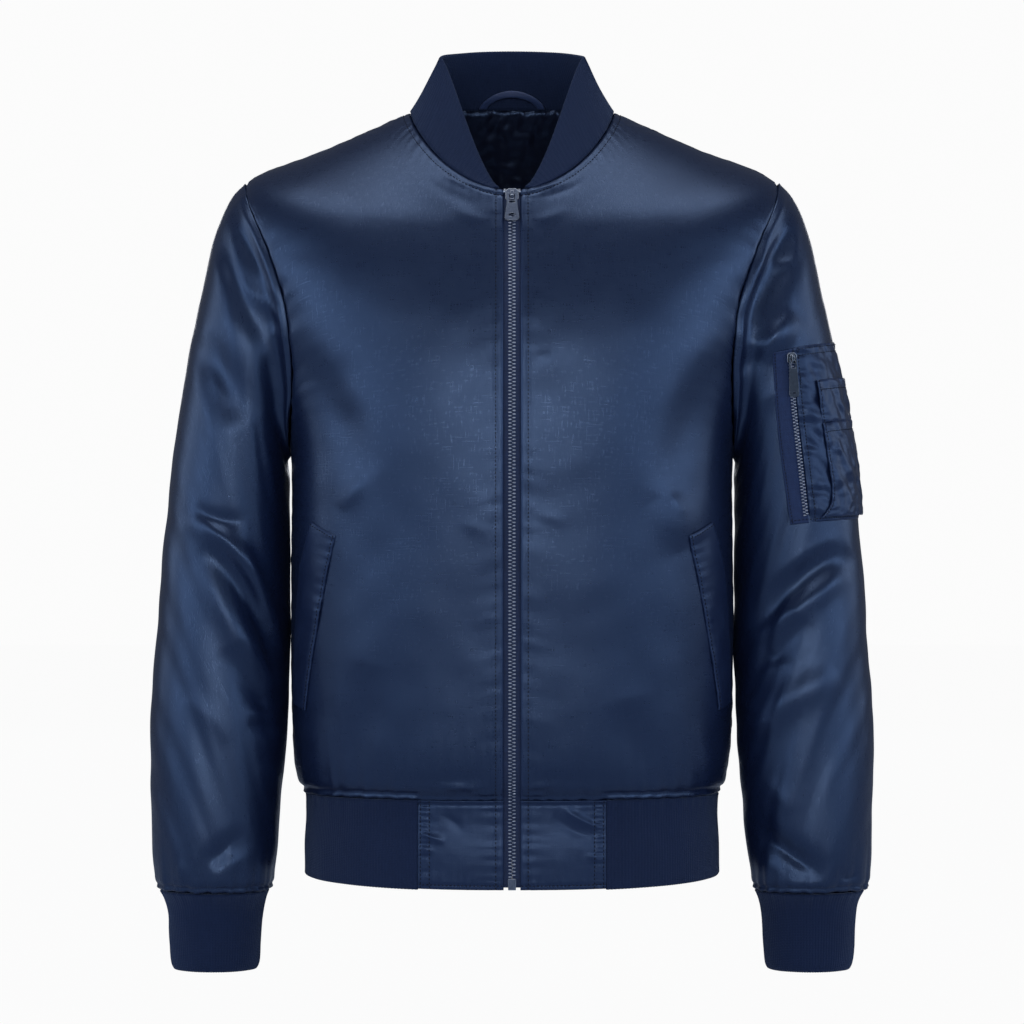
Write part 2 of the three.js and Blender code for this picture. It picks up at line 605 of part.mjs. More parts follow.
// A pull in the same frame, hanging from its hinge line.
function pull(size, hinge) {
  const bar = size.thick / 2;
  const shape = new THREE.Shape();
  shape.moveTo(-size.neck, bar);
  shape.lineTo(-size.neck, -size.windowLength);
  shape.lineTo(-size.end, -size.length + 3);
  shape.quadraticCurveTo(-size.end, -size.length, -size.end + 3, -size.length);
  shape.lineTo(size.end - 3, -size.length);
  shape.quadraticCurveTo(size.end, -size.length, size.end, -size.length + 3);
  shape.lineTo(size.neck, -size.windowLength);
  shape.lineTo(size.neck, bar);
  const window = new THREE.Path();
  window.moveTo(-size.window, -bar);
  window.lineTo(size.window, -bar);
  window.lineTo(size.window, -size.windowLength + 1.5);
  window.lineTo(-size.window, -size.windowLength + 1.5);
  const hole = new THREE.Path();
  hole.absellipse(0, -size.length + size.hole + 2, size.hole, size.hole * 0.6, 0, 2 * Math.PI, true);
  shape.holes.push(window, hole);
  return new THREE.ExtrudeGeometry(shape, { depth: size.thick, bevelEnabled: false, curveSegments: 6 }).translate(
    0,
    0,
    hinge - bar,
  );
}

// Sets hardware on the cloth: at a point, with the way up the zip and the way out of the cloth.
function place(geometry, point, up, out) {
  const across = up.clone().cross(out).normalize();
  const upright = out.clone().cross(across);
  return geometry.applyMatrix4(new THREE.Matrix4().makeBasis(across, upright, out).setPosition(point));
}

function sliderSpot() {
  const up = torso(0, ZIP.top + 0.2).sub(torso(0, ZIP.top - 0.2)).normalize();
  return [torso(0, ZIP.top, CHAIN_MIDDLE), up, normalOf(torsoForm, 0, ZIP.top, NECK)];
}

// Row of the torso at which the line at one angle comes up to a height.
function torsoRow(angle, z) {
  let [low, high] = [0, NECK];
  for (let step = 0; step < 24; step++) {
    const middle = (low + high) / 2;
    if (torsoForm(angle, middle).z < z) low = middle;
    else high = middle;
  }
  return low;
}

// The welt over a hand pocket, sewn down in front and open towards the side.
function welt(side) {
  const at = (lift) => (share, row) => {
    const angle = mix(read(WELT, "sewn", row), read(WELT, "free", row), share);
    const z = read(WELT, "z", row) + share * read(WELT, "rise", row);
    return torso(side * angle, torsoRow(angle, z), lift);
  };
  const along = rows(WELT, ["z"], 0, WELT.length - 1, 24);
  return wall({ columns: 3, along, outside: at(LIE + WELT_THICK), inside: at(LIE) });
}

// Angle round the left sleeve of the point at a distance from the middle plane and a height.
function aroundAt(x, z) {
  let [low, high] = [-80, 90];
  for (let step = 0; step < 24; step++) {
    const middle = (low + high) / 2;
    if (sleeveForm(middle, sleeveRow(middle, z)).x < x) low = middle;
    else high = middle;
  }
  return low;
}

// A point over the left sleeve, by angle and height.
const onSleeve = (around, z, lift) => sleeve(1, around, sleeveRow(around, z), lift);

// A patch on the left sleeve: near and far give its edges in degrees for a row of its table.
function sleevePatch({ table, near, far, columns, low, high, rise = 0, puff = 0, from = 0, cell = 20 }) {
  const at = (lift, swell) => (share, row) => {
    const around = mix(near(row), far(row), share);
    const upper = row / (table.length - 1);
    const bulge = swell * Math.sin(Math.PI * share) ** 0.6 * Math.sin(Math.PI * clamp(1 - upper, 0, 1)) ** 0.6;
    return onSleeve(around, read(table, "z", row) + rise * share * upper, lift + bulge);
  };
  const along = rows(table, ["z"], from, table.length - 1, cell);
  return wall({ columns, along, outside: at(high, puff), inside: at(low, 0) });
}

const pocketAngle = (column, beside) => (row) => aroundAt(read(POCKET, column, row) + beside, read(POCKET, "z", row));

const POCKET_TAPE_LIFT = LIE;
const POCKET_CHAIN_LIFT = POCKET_TAPE_LIFT + TAPE + GAP + POCKET_ZIP.depth;

// The band that carries the sleeve pocket's zip.
const pocketTape = () =>
  sleevePatch({
    table: POCKET,
    near: pocketAngle("edge", 0),
    far: pocketAngle("teeth", POCKET_ZIP.half),
    columns: 2,
    low: POCKET_TAPE_LIFT,
    high: POCKET_TAPE_LIFT + TAPE,
  });

const pocketChain = () =>
  sleevePatch({
    table: POCKET,
    near: pocketAngle("teeth", -POCKET_ZIP.half),
    far: pocketAngle("teeth", POCKET_ZIP.half),
    columns: 1,
    low: POCKET_CHAIN_LIFT - POCKET_ZIP.depth,
    high: POCKET_CHAIN_LIFT + POCKET_ZIP.depth,
    from: POCKET_ZIP.from,
  });

const pocketPatch = () =>
  sleevePatch({
    table: POCKET,
    near: pocketAngle("teeth", POCKET_ZIP.half + 2 * GAP),
    far: () => POCKET_END,
    columns: 10,
    low: LIE,
    high: LIE + POCKET_CLOTH,
    rise: POCKET_RISE,
  });

const penPocket = (table, puff) =>
  sleevePatch({
    table,
    near: (row) => aroundAt(read(table, "near", row), read(table, "z", row)),
    far: () => PEN_END,
    columns: 7,
    low: PEN_LIE + POCKET_CLOTH,
    high: PEN_LIE + 2 * POCKET_CLOTH,
    puff,
  });

function pocketSpot() {
  const row = POCKET_ZIP.slider;
  const z = read(POCKET, "z", row);
  const around = pocketAngle("teeth", 0)(row);
  const point = (height, lift) => onSleeve(pocketAngle("teeth", 0)(height), read(POCKET, "z", height), lift);
  const up = point(row + 0.1, 0).sub(point(row - 0.4, 0)).normalize();
  const out = onSleeve(around, z, 1).sub(onSleeve(around, z, 0)).normalize();
  return [point(row, POCKET_CHAIN_LIFT), up, out];
}

// The lining's yoke, seen in the neck.
function backLining() {
  const at = (lift) => (share, row) => {
    const angle = angleAt(LINING.reach, row);
    return torso(180 + mix(-angle, angle, share), row, -CLOTH - LIE + lift);
  };
  const along = rows(TORSO, ["back"], LINING.low, NECK - 0.04);
  return wall({ columns: 10, along, outside: at(0), inside: at(-TAPE) });
}

// The loop that hangs the jacket, a strap arched up from the neck seam.
function hangerLoop() {
  const at = (lift) => (share, across) => {
    const turn = Math.PI * share;
    const half = LOOP.half + LOOP.width * (across - 0.5);
    const rise = LOOP.rise + LOOP.width * (across - 0.5);
    const angle = 180 + THREE.MathUtils.radToDeg(Math.asin((half * Math.cos(turn)) / LOOP.round));
    const height = 0.03 + (rise * Math.sin(turn)) / LOOP.tall;
    const stand = LOOP.bulge * Math.sin(turn);
    const normal = normalOf(collarForm, angle, height, 1);
    return collarForm(angle, height).addScaledVector(normal, -RIB_KNIT - 2 * GAP - stand + lift);
  };
  return wall({ columns: 12, along: [0, 1], outside: at(0), inside: at(-LOOP.thick) });
}

for (const [side, name] of [[1, "left"], [-1, "right"]]) {
  add(`front_${name}`, front(side), satin);
  add(`sleeve_${name}`, sleevePanel(side), satin);
  add(`cuff_${name}`, cuff(side), knit);
  add(`hem_end_${name}`, hemEnd(side), satin);
  add(`welt_${name}`, welt(side), satin);
  add(`zip_tape_${name}`, zipTape(side), tape);
}
add("back", back(), satin);
add("collar", collar(), knit);
add("hem_band", hemBand(), knit);
add("back_lining", backLining(), lining);
add("hanger_loop", hangerLoop(), lining);
add("zip_chain", zipChain(), metal);
add("zip_box", zipBox(), metal);
add("zip_slider", place(slider(SLIDER, ZIP.depth + GAP), ...sliderSpot()), metal);
const hinge = ZIP.depth + GAP + SLIDER.plate + HINGE_LIFT;
add("zip_pull", place(pull(PULL, hinge), ...sliderSpot()), metal);
add("pocket_tape", pocketTape(), tape);
add("pocket_chain", pocketChain(), metal);
add("pocket_patch", pocketPatch(), satin);
add("pen_pocket_upper", penPocket(PEN_UPPER, 0), satin);
add("pen_pocket_lower", penPocket(PEN_LOWER, PEN_PUFF), satin);
add("pocket_slider", place(slider(POCKET_SLIDER, POCKET_ZIP.depth + GAP), ...pocketSpot()), metal);
const pocketHinge = POCKET_ZIP.depth + GAP + POCKET_SLIDER.plate + HINGE_LIFT;
add("pocket_pull", place(pull(POCKET_PULL, pocketHinge), ...pocketSpot()), metal);

export default jacket;
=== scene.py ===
"""A navy satin bomber jacket, zipped up and filled out as if worn, with nobody in it.

Every cloth piece follows the surface of its CAD solid and adds what the solid leaves out:
creases, puckers along the seams, ribs, stitching, zip teeth and the finishes.
Tables and sizes are in millimetres; meshes are in metres. +Z is up, the front faces -Y,
and the wearer's left is +X.
"""
import math
import bpy
import numpy as np
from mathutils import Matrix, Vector


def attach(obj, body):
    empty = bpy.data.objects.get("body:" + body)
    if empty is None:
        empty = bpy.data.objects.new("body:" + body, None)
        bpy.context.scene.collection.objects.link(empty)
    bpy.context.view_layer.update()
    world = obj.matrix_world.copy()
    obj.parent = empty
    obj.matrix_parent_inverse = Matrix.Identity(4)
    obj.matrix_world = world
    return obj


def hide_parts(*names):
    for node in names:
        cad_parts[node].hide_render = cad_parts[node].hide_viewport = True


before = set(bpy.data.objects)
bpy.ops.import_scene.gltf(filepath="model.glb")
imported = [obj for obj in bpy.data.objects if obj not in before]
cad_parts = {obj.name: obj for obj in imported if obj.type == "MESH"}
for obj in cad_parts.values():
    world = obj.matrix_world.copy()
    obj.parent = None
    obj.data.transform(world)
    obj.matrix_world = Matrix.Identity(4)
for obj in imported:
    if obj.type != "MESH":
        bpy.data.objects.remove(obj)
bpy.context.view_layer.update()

MM = 0.001

# ---------------------------------------------------------------- sizes shared with the CAD source

CLOTH = 1.7  # shell, filling and lining of a panel
RIB_KNIT = 2.8  # a rib knit folded double
RIB_PITCH = 2.8
RIB_HEIGHT = 0.34
GAP = 0.3  # between pieces at a seam
LIE = 0.9  # between a panel and what lies on it
HEM_SEAM = 3
ARMPIT = 8
SHOULDER_TIP = 12
NECK = 14
RING_DIP = 1.5
ARMHOLE_FORE = 70
ARMHOLE_AFT = 68
SLEEVE_SQUARE = 2.1
SLEEVE_END = 12
ARMHOLE_FADE = 3
ARMHOLE_MIDDLE = (212, 0, -176)
HEM_END = 79  # the hem's satin ends reach this far from the middle
TAPE_LIFT = -2.3
CHAIN_LIFT = -2.8  # middle of the closed teeth, from the panels' outside
FOLD_CRISP = 2.0  # how sharply a main fold falls off to its sides
CREASE_CRISP = 1.6
ZIP_STITCH = 6.6  # from the zip's opening to the line of stitches beside it
TAPE_CLOTH = 0.9
STAGE_RADIUS = 9000
STAGE_HEIGHT = -800


def table(columns, *rows):
    """Named columns of numbers, a row at a time."""
    return {name: np.array([row[n] for row in rows], float) for n, name in enumerate(columns.split())}


TORSO = table(
    "side front back width fore aft square",
    (-655, -659, -655, 180, 122, 113, 2.3),
    (-630, -630, -630, 180, 122, 113, 2.3),
    (-603, -602, -603, 178.5, 120, 111, 2.3),
    (-586, -584, -586, 179, 121, 112, 2.3),
    (-571, -569, -571, 186, 129, 120, 2.3),
    (-545, -543, -545, 190, 133, 124, 2.3),
    (-480, -478, -480, 192, 135, 125, 2.3),
    (-390, -390, -390, 192, 136, 125, 2.3),
    (-290, -296, -290, 192, 136, 128, 2.3),
    (-230, -241, -226, 205, 133, 131, 2.25),
    (-166, -188, -160, 222, 126, 130, 2.2),
    (-108, -143, -98, 240, 115, 118, 2.1),
    (-58, -109, -43, 231, 103, 98, 2.05),
    (-27, -89, -13, 161, 95, 81, 2),
    (5, -70, 13, 89, 86, 64, 2),
)

SLEEVE = table(
    "outer_x outer_z inner_x inner_z depth middle",
    (231, -58, 192, -290, 69, -1),
    (244, -71, 194, -297, 66, 4),
    (259, -105, 194, -308, 68, 6),
    (271, -157, 193.8, -325, 68, 7),
    (284, -221, 193.5, -349, 67, 6),
    (295, -297, 193.3, -386, 65, 4),
    (303, -375, 193.2, -433, 63, 1),
    (309, -450, 193.2, -486, 62, -4),
    (312.5, -523, 195.6, -541, 60, -10),
    (312.3, -589, 200.2, -597, 58, -15),
    (311, -631, 203.6, -635, 56, -18),
    (308.3, -655, 206.3, -657, 53, -19),
    (305, -667.5, 209, -668.5, 47, -20),
)

CUFF = table(
    "z centre half depth middle",
    (-669, 257, 47, 45, -20),
    (-677, 256.4, 43.4, 40.5, -20),
    (-690, 256.2, 40.8, 36.5, -20.5),
    (-727, 256.2, 38.4, 33, -21.5),
    (-736, 256.2, 35.6, 30.5, -22),
)

# The main folds, as in the CAD solids: a soft ridge or trough from one point of the front or
# back view to another, its half-width, its lift, and the bow of its line.
FOLD = "facing x0 z0 x1 z1 width lift bow"
SLEEVE_FOLDS = {
    1: table(
        FOLD,
        (-1, 243, -97, 193, -192, 11, -7, -4),
        (-1, 243, -175, 213, -212, 11, 5, 0),
        (-1, 292, -376, 203, -444, 14, -8, 8),
        (-1, 290, -390, 216, -462, 11, 5, 9),
        (-1, 246, -430, 202, -508, 13, -7, 5),
        (-1, 276, -478, 204, -534, 13, 4, 4),
        (-1, 203, -607, 266, -654, 11, -8, 4),
        (1, 284, -352, 205, -415, 15, -8, 8),
        (1, 292, -405, 206, -446, 13, 6, 8),
        (1, 298, -452, 212, -490, 14, -7, -8),
        (1, 250, -104, 205, -215, 13, -6, -6),
        (1, 300, -596, 226, -652, 12, -7, 4),
    ),
    -1: table(
        FOLD,
        (-1, 252, -96, 203, -204, 12, -6, -5),
        (-1, 268, -188, 230, -268, 16, -6, 0),
        (-1, 276, -346, 207, -438, 11, 5, 13),
        (-1, 256, -368, 197, -488, 12, -8, 5),
        (-1, 262, -384, 201, -500, 12, 5, -3),
        (-1, 240, -456, 200, -534, 12, -6, 3),
        (-1, 218, -616, 262, -654, 10, -7, -5),
        (1, 280, -345, 206, -408, 14, -8, 9),
        (1, 296, -396, 208, -455, 14, 6, 6),
        (1, 296, -466, 214, -498, 13, -7, -6),
        (1, 252, -100, 206, -208, 14, -6, -6),
        (1, 296, -602, 224, -656, 12, -7, 3),
    ),
}
TORSO_FOLDS = table(
    FOLD,
    (-1, 196, -196, 128, -330, 20, -4, 8),
    (-1, -196, -196, -124, -318, 20, -4, -8),
    (-1, 128, -330, 150, -372, 18, 3, 0),
    (-1, -118, -470, -134, -574, 16, -3, 0),
    (-1, 96, -500, 116, -576, 16, -3, 0),
    (1, 190, -226, 74, -342, 20, -6, 12),
    (1, -190, -220, -82, -336, 20, -6, -12),
    (1, 178, -330, 62, -440, 20, -5, 10),
    (1, -176, -338, -70, -446, 20, -5, -10),
    (1, -92, -478, 92, -488, 16, -4, 10),
    (1, 118, -500, 128, -576, 15, -4, 0),
    (1, -40, -512, -48, -577, 15, -4, 0),
)

# Finer creases that only the dressed model has, in the same columns.
SLEEVE_CREASES = {
    1: table(
        FOLD,
        (-1, 238, -98, 222, -130, 5, -2.6, 0),
        (-1, 244, -100, 243, -130, 3.5, 1.4, 0),
        (-1, 222, -135, 244, -127, 3.5, 1.8, 0),
        (-1, 233, -98, 194, -182, 4, 2.4, 5),
        (-1, 237, -173, 211, -214, 4.5, 1.8, 1),
        (-1, 219, -194, 193, -207, 3.5, 1.8, -1),
        (-1, 210, -205, 192, -228, 6, -2.6, 0),
        (-1, 236, -232, 206, -262, 7, 1.2, 3),
        (-1, 280, -364, 208, -420, 6, 1.8, 7),
        (-1, 262, -396, 204, -452, 5, -1.6, 4),
        (-1, 240, -470, 204, -492, 5, 1.3, 3),
        (-1, 226, -522, 196, -532, 5, 1.4, 2),
        (-1, 214, -570, 240, -600, 9, 1.2, 0),
        (-1, 222, -628, 258, -653, 4.5, 2.0, 4),
        (-1, 278, -651, 297, -651, 4, -1.8, 5),
        (1, 270, -374, 214, -430, 6, -1.8, 6),
        (1, 276, -424, 210, -470, 6, 1.8, 4),
        (1, 240, -130, 206, -190, 6, 1.6, -3),
        (1, 286, -620, 240, -652, 5, 1.8, 4),
    ),
    -1: table(
        FOLD,
        (-1, 240, -92, 206, -188, 5, 1.8, -8),
        (-1, 262, -120, 240, -168, 8, 1.2, 4),
        (-1, 262, -216, 236, -252, 8, 1.2, -3),
        (-1, 272, -340, 226, -350, 6, -3.0, -5),
        (-1, 270, -346, 208, -440, 5, 2.4, 13),
        (-1, 234, -366, 196, -484, 5, 2.4, 7),
        (-1, 246, -372, 203, -486, 6, -2.2, 5),
        (-1, 252, -392, 208, -478, 6, 1.4, 3),
        (-1, 226, -462, 200, -512, 8, -2.0, 3),
        (-1, 228, -512, 200, -524, 5, 1.6, 2),
        (-1, 226, -523, 200, -534, 5, -1.4, 1),
        (-1, 216, -558, 196, -578, 6, 1.2, 2),
        (-1, 280, -500, 240, -540, 9, 1.0, 4),
        (-1, 218, -616, 262, -654, 10, 4.5, -5),
        (-1, 226, -636, 258, -655, 5, 1.1, -2),
        (-1, 240, -628, 262, -640, 6, -0.9, 1),
        (-1, 214, -140, 199, -302, 12, -5, 0),
        (-1, 237, -97, 206, -154, 6, -2.6, 0),
        (-1, 231, -147, 193, -187, 3.5, 2.0, 2),
        (-1, 215, -187, 191, -191, 3.2, 1.8, -2),
        (-1, 205, -196, 191, -268, 8, -3, 0),
        (-1, 284, -640, 278, -664, 5, 1.6, 0),
        (-1, 246, -644, 244, -664, 5, 1.4, 0),
        (1, 266, -366, 212, -424, 6, -1.8, 6),
        (1, 280, -420, 212, -476, 6, 1.8, 4),
        (1, 242, -126, 206, -196, 6, 1.6, -3),
        (1, 284, -624, 238, -652, 5, 1.8, 4),
    ),
}
TORSO_CREASES = table(
    FOLD,
    (-1, 8, -572, 40, -570, 2.2, 1.3, 0.5),
    (-1, 8, -579, 30, -578, 2.2, 0.9, 0),
    (-1, 14, -564, 78, -568, 5, -0.8, 2),
    (-1, -8, -578, -34, -577, 2.4, 1.2, -0.5),
    (-1, -18, -572, -66, -571, 2.4, 1.3, -1),
    (-1, -16, -563, -92, -567, 5, -0.8, -2),
    (-1, 16, -72, 48, -61, 2.6, 1.1, 1),
    (-1, 22, -78, 66, -58, 3, -0.7, 3),
    (-1, -20, -71, -62, -56, 2.6, 0.8, -1),
    (-1, -26, -84, -74, -60, 4, -0.6, -3),
    (-1, 18, -344, 46, -352, 5, 0.6, 0),
    (-1, -18, -360, -44, -352, 5, 0.5, 0),
    (-1, 126, -318, 148, -346, 7, 1.2, 2),
    (-1, -124, -312, -146, -340, 7, 1.2, -2),
    (-1, 18, -216, 34, -211, 4, 0.6, 0),
    (-1, 16, -98, 50, -84, 5, 0.8, 3),
    (-1, -16, -98, -52, -84, 5, 0.7, -3),
    (-1, 152, -520, 176, -572, 8, 1.0, 0),
    (-1, -156, -516, -176, -570, 8, 1.0, 0),
    (1, 174, -232, 88, -330, 8, 3.0, 9),
    (1, -176, -228, -84, -334, 8, 3.0, -9),
    (1, 172, -268, 70, -352, 6, -2.2, 12),
    (1, -170, -262, -92, -366, 6, -2.2, -7),
    (1, 166, -352, 70, -424, 7, 2.6, 6),
    (1, -166, -362, -78, -438, 7, 2.6, -6),
    (1, 60, -92, 128, -136, 9, 1.8, 6),
    (1, -70, -88, -120, -140, 9, 1.6, -5),
    (1, 150, -470, 40, -506, 8, 2.4, 9),
    (1, -154, -486, -52, -508, 8, 2.2, -7),
    (1, -60, -536, -72, -577, 7, 1.8, 0),
    (1, 60, -530, 74, -577, 7, 1.8, 0),
)

HEM_CREASES = table(
    FOLD,
    (-1, 42, -590, 78, -609, 3.4, 2.0, 2),
    (-1, 34, -596, 72, -617, 5, -1.2, 3),
    (-1, 60, -630, 79, -633, 2.4, 0.8, 0),
    (-1, -79, -611, -56, -619, 2.8, 1.4, 0),
    (-1, -79, -625, -66, -626, 2.2, 0.9, 0),
    (-1, -60, -596, -40, -612, 4, -0.8, -2),
)

COLLAR = dict(width=63, fore=88, aft=53, side=53, front=-76, back=64.5, dip=3, pull=2.7, start=11, bulge=-1.5)
ZIP = dict(opening=7, tape=16, top=13.66, bottom=0.12)
END_STOP = (1.3, 2.2, 1.2)  # half sizes of the metal stop over each row of teeth
TEETH = dict(pitch=3.0, root=3.1, tip=0.45, half=0.78, depth=1.1)
WELT = table(
    "z rise sewn free",
    (-512, 6, 65, 77),
    (-446, 8, 57.4, 73),
    (-400, 10, 52.5, 68.5),
    (-363, 12, 48.1, 60.5),
)
WELT_THICK = 1.5
POCKET = table(
    "z edge teeth",
    (-354, 237.5, 251),
    (-300, 229.8, 245),
    (-252, 224.7, 239.6),
    (-208, 222, 236.5),
)
POCKET_END = 124
POCKET_ZIP = dict(half=2.2, start=0.2, slider=2.86)
POCKET_CLOTH = 1.2
POCKET_SHELL = POCKET_CLOTH - 0.2  # what the dressed pocket keeps of it under its relief
PEN_UPPER = table("z near", (-266.5, 263.5), (-231, 258.5))
PEN_LOWER = table("z near", (-348, 263), (-332, 271.5), (-300, 268.5), (-267, 263.5))
PEN_END = 104
PEN_PUFF = 1.6
PEN_LIE = 2.16
LINING = dict(reach=80, low=11.7)
LOOP = dict(half=22.5, rise=14, width=6, bulge=6.5, thick=1.5, round=75, tall=52)

# ---------------------------------------------------------------- surfaces shared with the CAD source


def read(rows, column, at):
    """A table's column at row numbers that need not be whole, on a smooth curve through the rows."""
    values = rows[column]
    at = np.asarray(at, float)
    row = np.clip(np.floor(at).astype(int), 0, len(values) - 2)
    t = at - row
    before, low, high, after = (values[np.clip(row + n, 0, len(values) - 1)] for n in (-1, 0, 1, 2))
    leave, arrive = (high - before) / 2, (after - low) / 2
    bend = 3 * (high - low) - 2 * leave - arrive + t * (2 * (low - high) + leave + arrive)
    return low + t * (leave + t * bend)


def power(value, exponent):
    return np.sign(value) * np.abs(value) ** exponent


def mix(start, end, share):
    return start + (end - start) * share


def paired(first, second):
    """Two sets of angles, rows or heights as arrays of one shape."""
    return np.broadcast_arrays(np.asarray(first, float), np.asarray(second, float))


def sided(name, side):
    return name + ("_left" if side > 0 else "_right")


def unit(vectors):
    return vectors / np.maximum(np.linalg.norm(vectors, axis=-1, keepdims=True), 1e-9)


def fold_lift(folds, point, front, turn, crisp=FOLD_CRISP):
    """How far a table of folds lifts points of the front or back view."""
    lift = np.zeros(point.shape[:-1])
    for n in range(len(folds["x0"])):
        fold = {name: folds[name][n] for name in folds}
        dx, dz = fold["x1"] - fold["x0"], fold["z1"] - fold["z0"]
        length = math.hypot(dx, dz)
        x, z = point[..., 0] - fold["x0"], point[..., 2] - fold["z0"]
        along = (x * dx + z * dz) / length ** 2
        across = (x * dz - z * dx) / length - fold["bow"] * 4 * along * (1 - along)
        here = (along > 0) & (along < 1) & (front == (fold["facing"] < 0))
        form = np.sin(np.pi * np.clip(along, 0, 1)) * np.exp(-np.abs(across / fold["width"]) ** crisp)
        lift += np.where(here, fold["lift"] * form, 0)
    return lift * np.clip(turn * 2.5, 0, 1)


def torso_form(angle, row):
    """Points of the bare torso, at angles round from the front towards the wearer's left."""
    angle, row = paired(angle, row)
    sine, cosine = np.sin(np.radians(angle)), np.cos(np.radians(angle))
    square = 2 / read(TORSO, "square", row)
    reach = np.where(cosine > 0, -read(TORSO, "fore", row), read(TORSO, "aft", row))
    height = np.where(cosine > 0, read(TORSO, "front", row), read(TORSO, "back", row))
    side = read(TORSO, "side", row)
    return np.stack(
        [
            read(TORSO, "width", row) * power(sine, square),
            reach * np.abs(cosine) ** square,
            side + (height - side) * np.abs(cosine) ** RING_DIP,
        ],
        -1,
    )


def normal_of(form, angle, row, end):
    """Unit normals of a form by small steps."""
    low, high = np.maximum(0, row - 0.03), np.minimum(end, row + 0.03)
    across = form(angle + 0.4, row) - form(angle - 0.4, row)
    return unit(np.cross(across, form(angle, high) - form(angle, low)))


def torso_skin(angle, row):
    angle, row = paired(angle, row)
    point = torso_form(angle, row)
    cosine = np.cos(np.radians(angle))
    lift = fold_lift(TORSO_FOLDS, point, cosine > 0, np.abs(cosine))
    return point + normal_of(torso_form, angle, row, NECK) * lift[..., None]


def torso(angle, row, lift=0.0):
    """The torso's skin, moved out by a lift."""
    angle, row = paired(angle, row)
    return torso_skin(angle, row) + normal_of(torso_skin, angle, row, NECK) * np.asarray(lift)[..., None]


def angle_at(x, row):
    """Angle of the point at a distance from the middle plane, on the front."""
    share = x / read(TORSO, "width", row)
    return np.degrees(np.arcsin(share ** (read(TORSO, "square", row) / 2)))


def panel_edge(row, on_front):
    """Angle at which a panel ends: at the side or shoulder seam, or round the armhole."""
    row = np.asarray(row, float)
    share = np.clip((SHOULDER_TIP - row) / (SHOULDER_TIP - ARMPIT), 0, 1)
    reach = np.where(on_front, ARMHOLE_FORE, ARMHOLE_AFT) * np.sqrt(4 * share * (1 - share))
    room = np.where(on_front, read(TORSO, "fore", row), read(TORSO, "aft", row))
    angle = np.degrees(np.arccos((np.maximum(GAP, reach) / room) ** (read(TORSO, "square", row) / 2)))
    return np.where(on_front, angle, 180 - angle)


def sleeve_form(around, row):
    """Points of the bare left sleeve: around is 0 in front, 90 outside and 270 by the body."""
    around, row = paired(around, row)
    sine, cosine = np.sin(np.radians(around)), np.cos(np.radians(around))

    def tube(at):
        spread = power(sine, 2 / SLEEVE_SQUARE) / 2
        outer_x, inner_x = read(SLEEVE, "outer_x", at), read(SLEEVE, "inner_x", at)
        outer_z, inner_z = read(SLEEVE, "outer_z", at), read(SLEEVE, "inner_z", at)
        return np.stack(
            [
                (outer_x + inner_x) / 2 + (outer_x - inner_x) * spread,
                read(SLEEVE, "middle", at) - read(SLEEVE, "depth", at) * power(cosine, 2 / SLEEVE_SQUARE),
                (outer_z + inner_z) / 2 + (outer_z - inner_z) * spread,
            ],
            -1,
        )

    seam_row = mix(SHOULDER_TIP, ARMPIT, (1 - sine) / 2)
    seam = torso_form(panel_edge(seam_row, cosine > 0), seam_row)
    fade = np.clip(1 - row / ARMHOLE_FADE, 0, 1) ** 2
    return tube(row) + (seam - tube(np.zeros_like(row))) * fade[..., None]


def sleeve_skin(side):
    """The left or right sleeve with its folds, before it is mirrored to its side."""

    def skin(around, row):
        around, row = paired(around, row)
        point = sleeve_form(around, row)
        cosine = np.cos(np.radians(around))
        lift = fold_lift(SLEEVE_FOLDS[side], point, cosine > 0, np.abs(cosine))
        return point - normal_of(sleeve_form, around, row, SLEEVE_END) * lift[..., None]

    return skin


def bisect(low, high, short, steps):
    """Where a test stops being true between two arrays, by halving."""
    for _ in range(steps):
        middle = (low + high) / 2
        more = short(middle)
        low, high = np.where(more, middle, low), np.where(more, high, middle)
    return low


def sleeve_row(around, z):
    """Row at which the sleeve's line at an angle comes down to a height."""
    around, z = paired(around, z)
    end = np.full(around.shape, float(SLEEVE_END))
    return bisect(0 * end, end, lambda row: sleeve_form(around, row)[..., 2] > z, 22)


def torso_row(angle, z):
    """Row at which the torso's line at an angle comes up to a height."""
    angle, z = paired(angle, z)
    end = np.full(angle.shape, float(NECK))
    return bisect(0 * end, end, lambda row: torso_form(angle, row)[..., 2] < z, 22)


def around_at(x, z):
    """Angle round the left sleeve of a point at a distance from the middle plane and a height."""
    x, z = paired(x, z)
    low, high = np.full(x.shape, -80.0), np.full(x.shape, 90.0)
    return bisect(low, high, lambda around: sleeve_form(around, sleeve_row(around, z))[..., 0] < x, 20)


def on_sleeve(around, z, lift=0.0):
    """Points over the left sleeve, by angle and height."""
    row = sleeve_row(around, z)
    skin = sleeve_skin(1)
    return skin(around, row) - normal_of(skin, around, row, SLEEVE_END) * np.asarray(lift)[..., None]


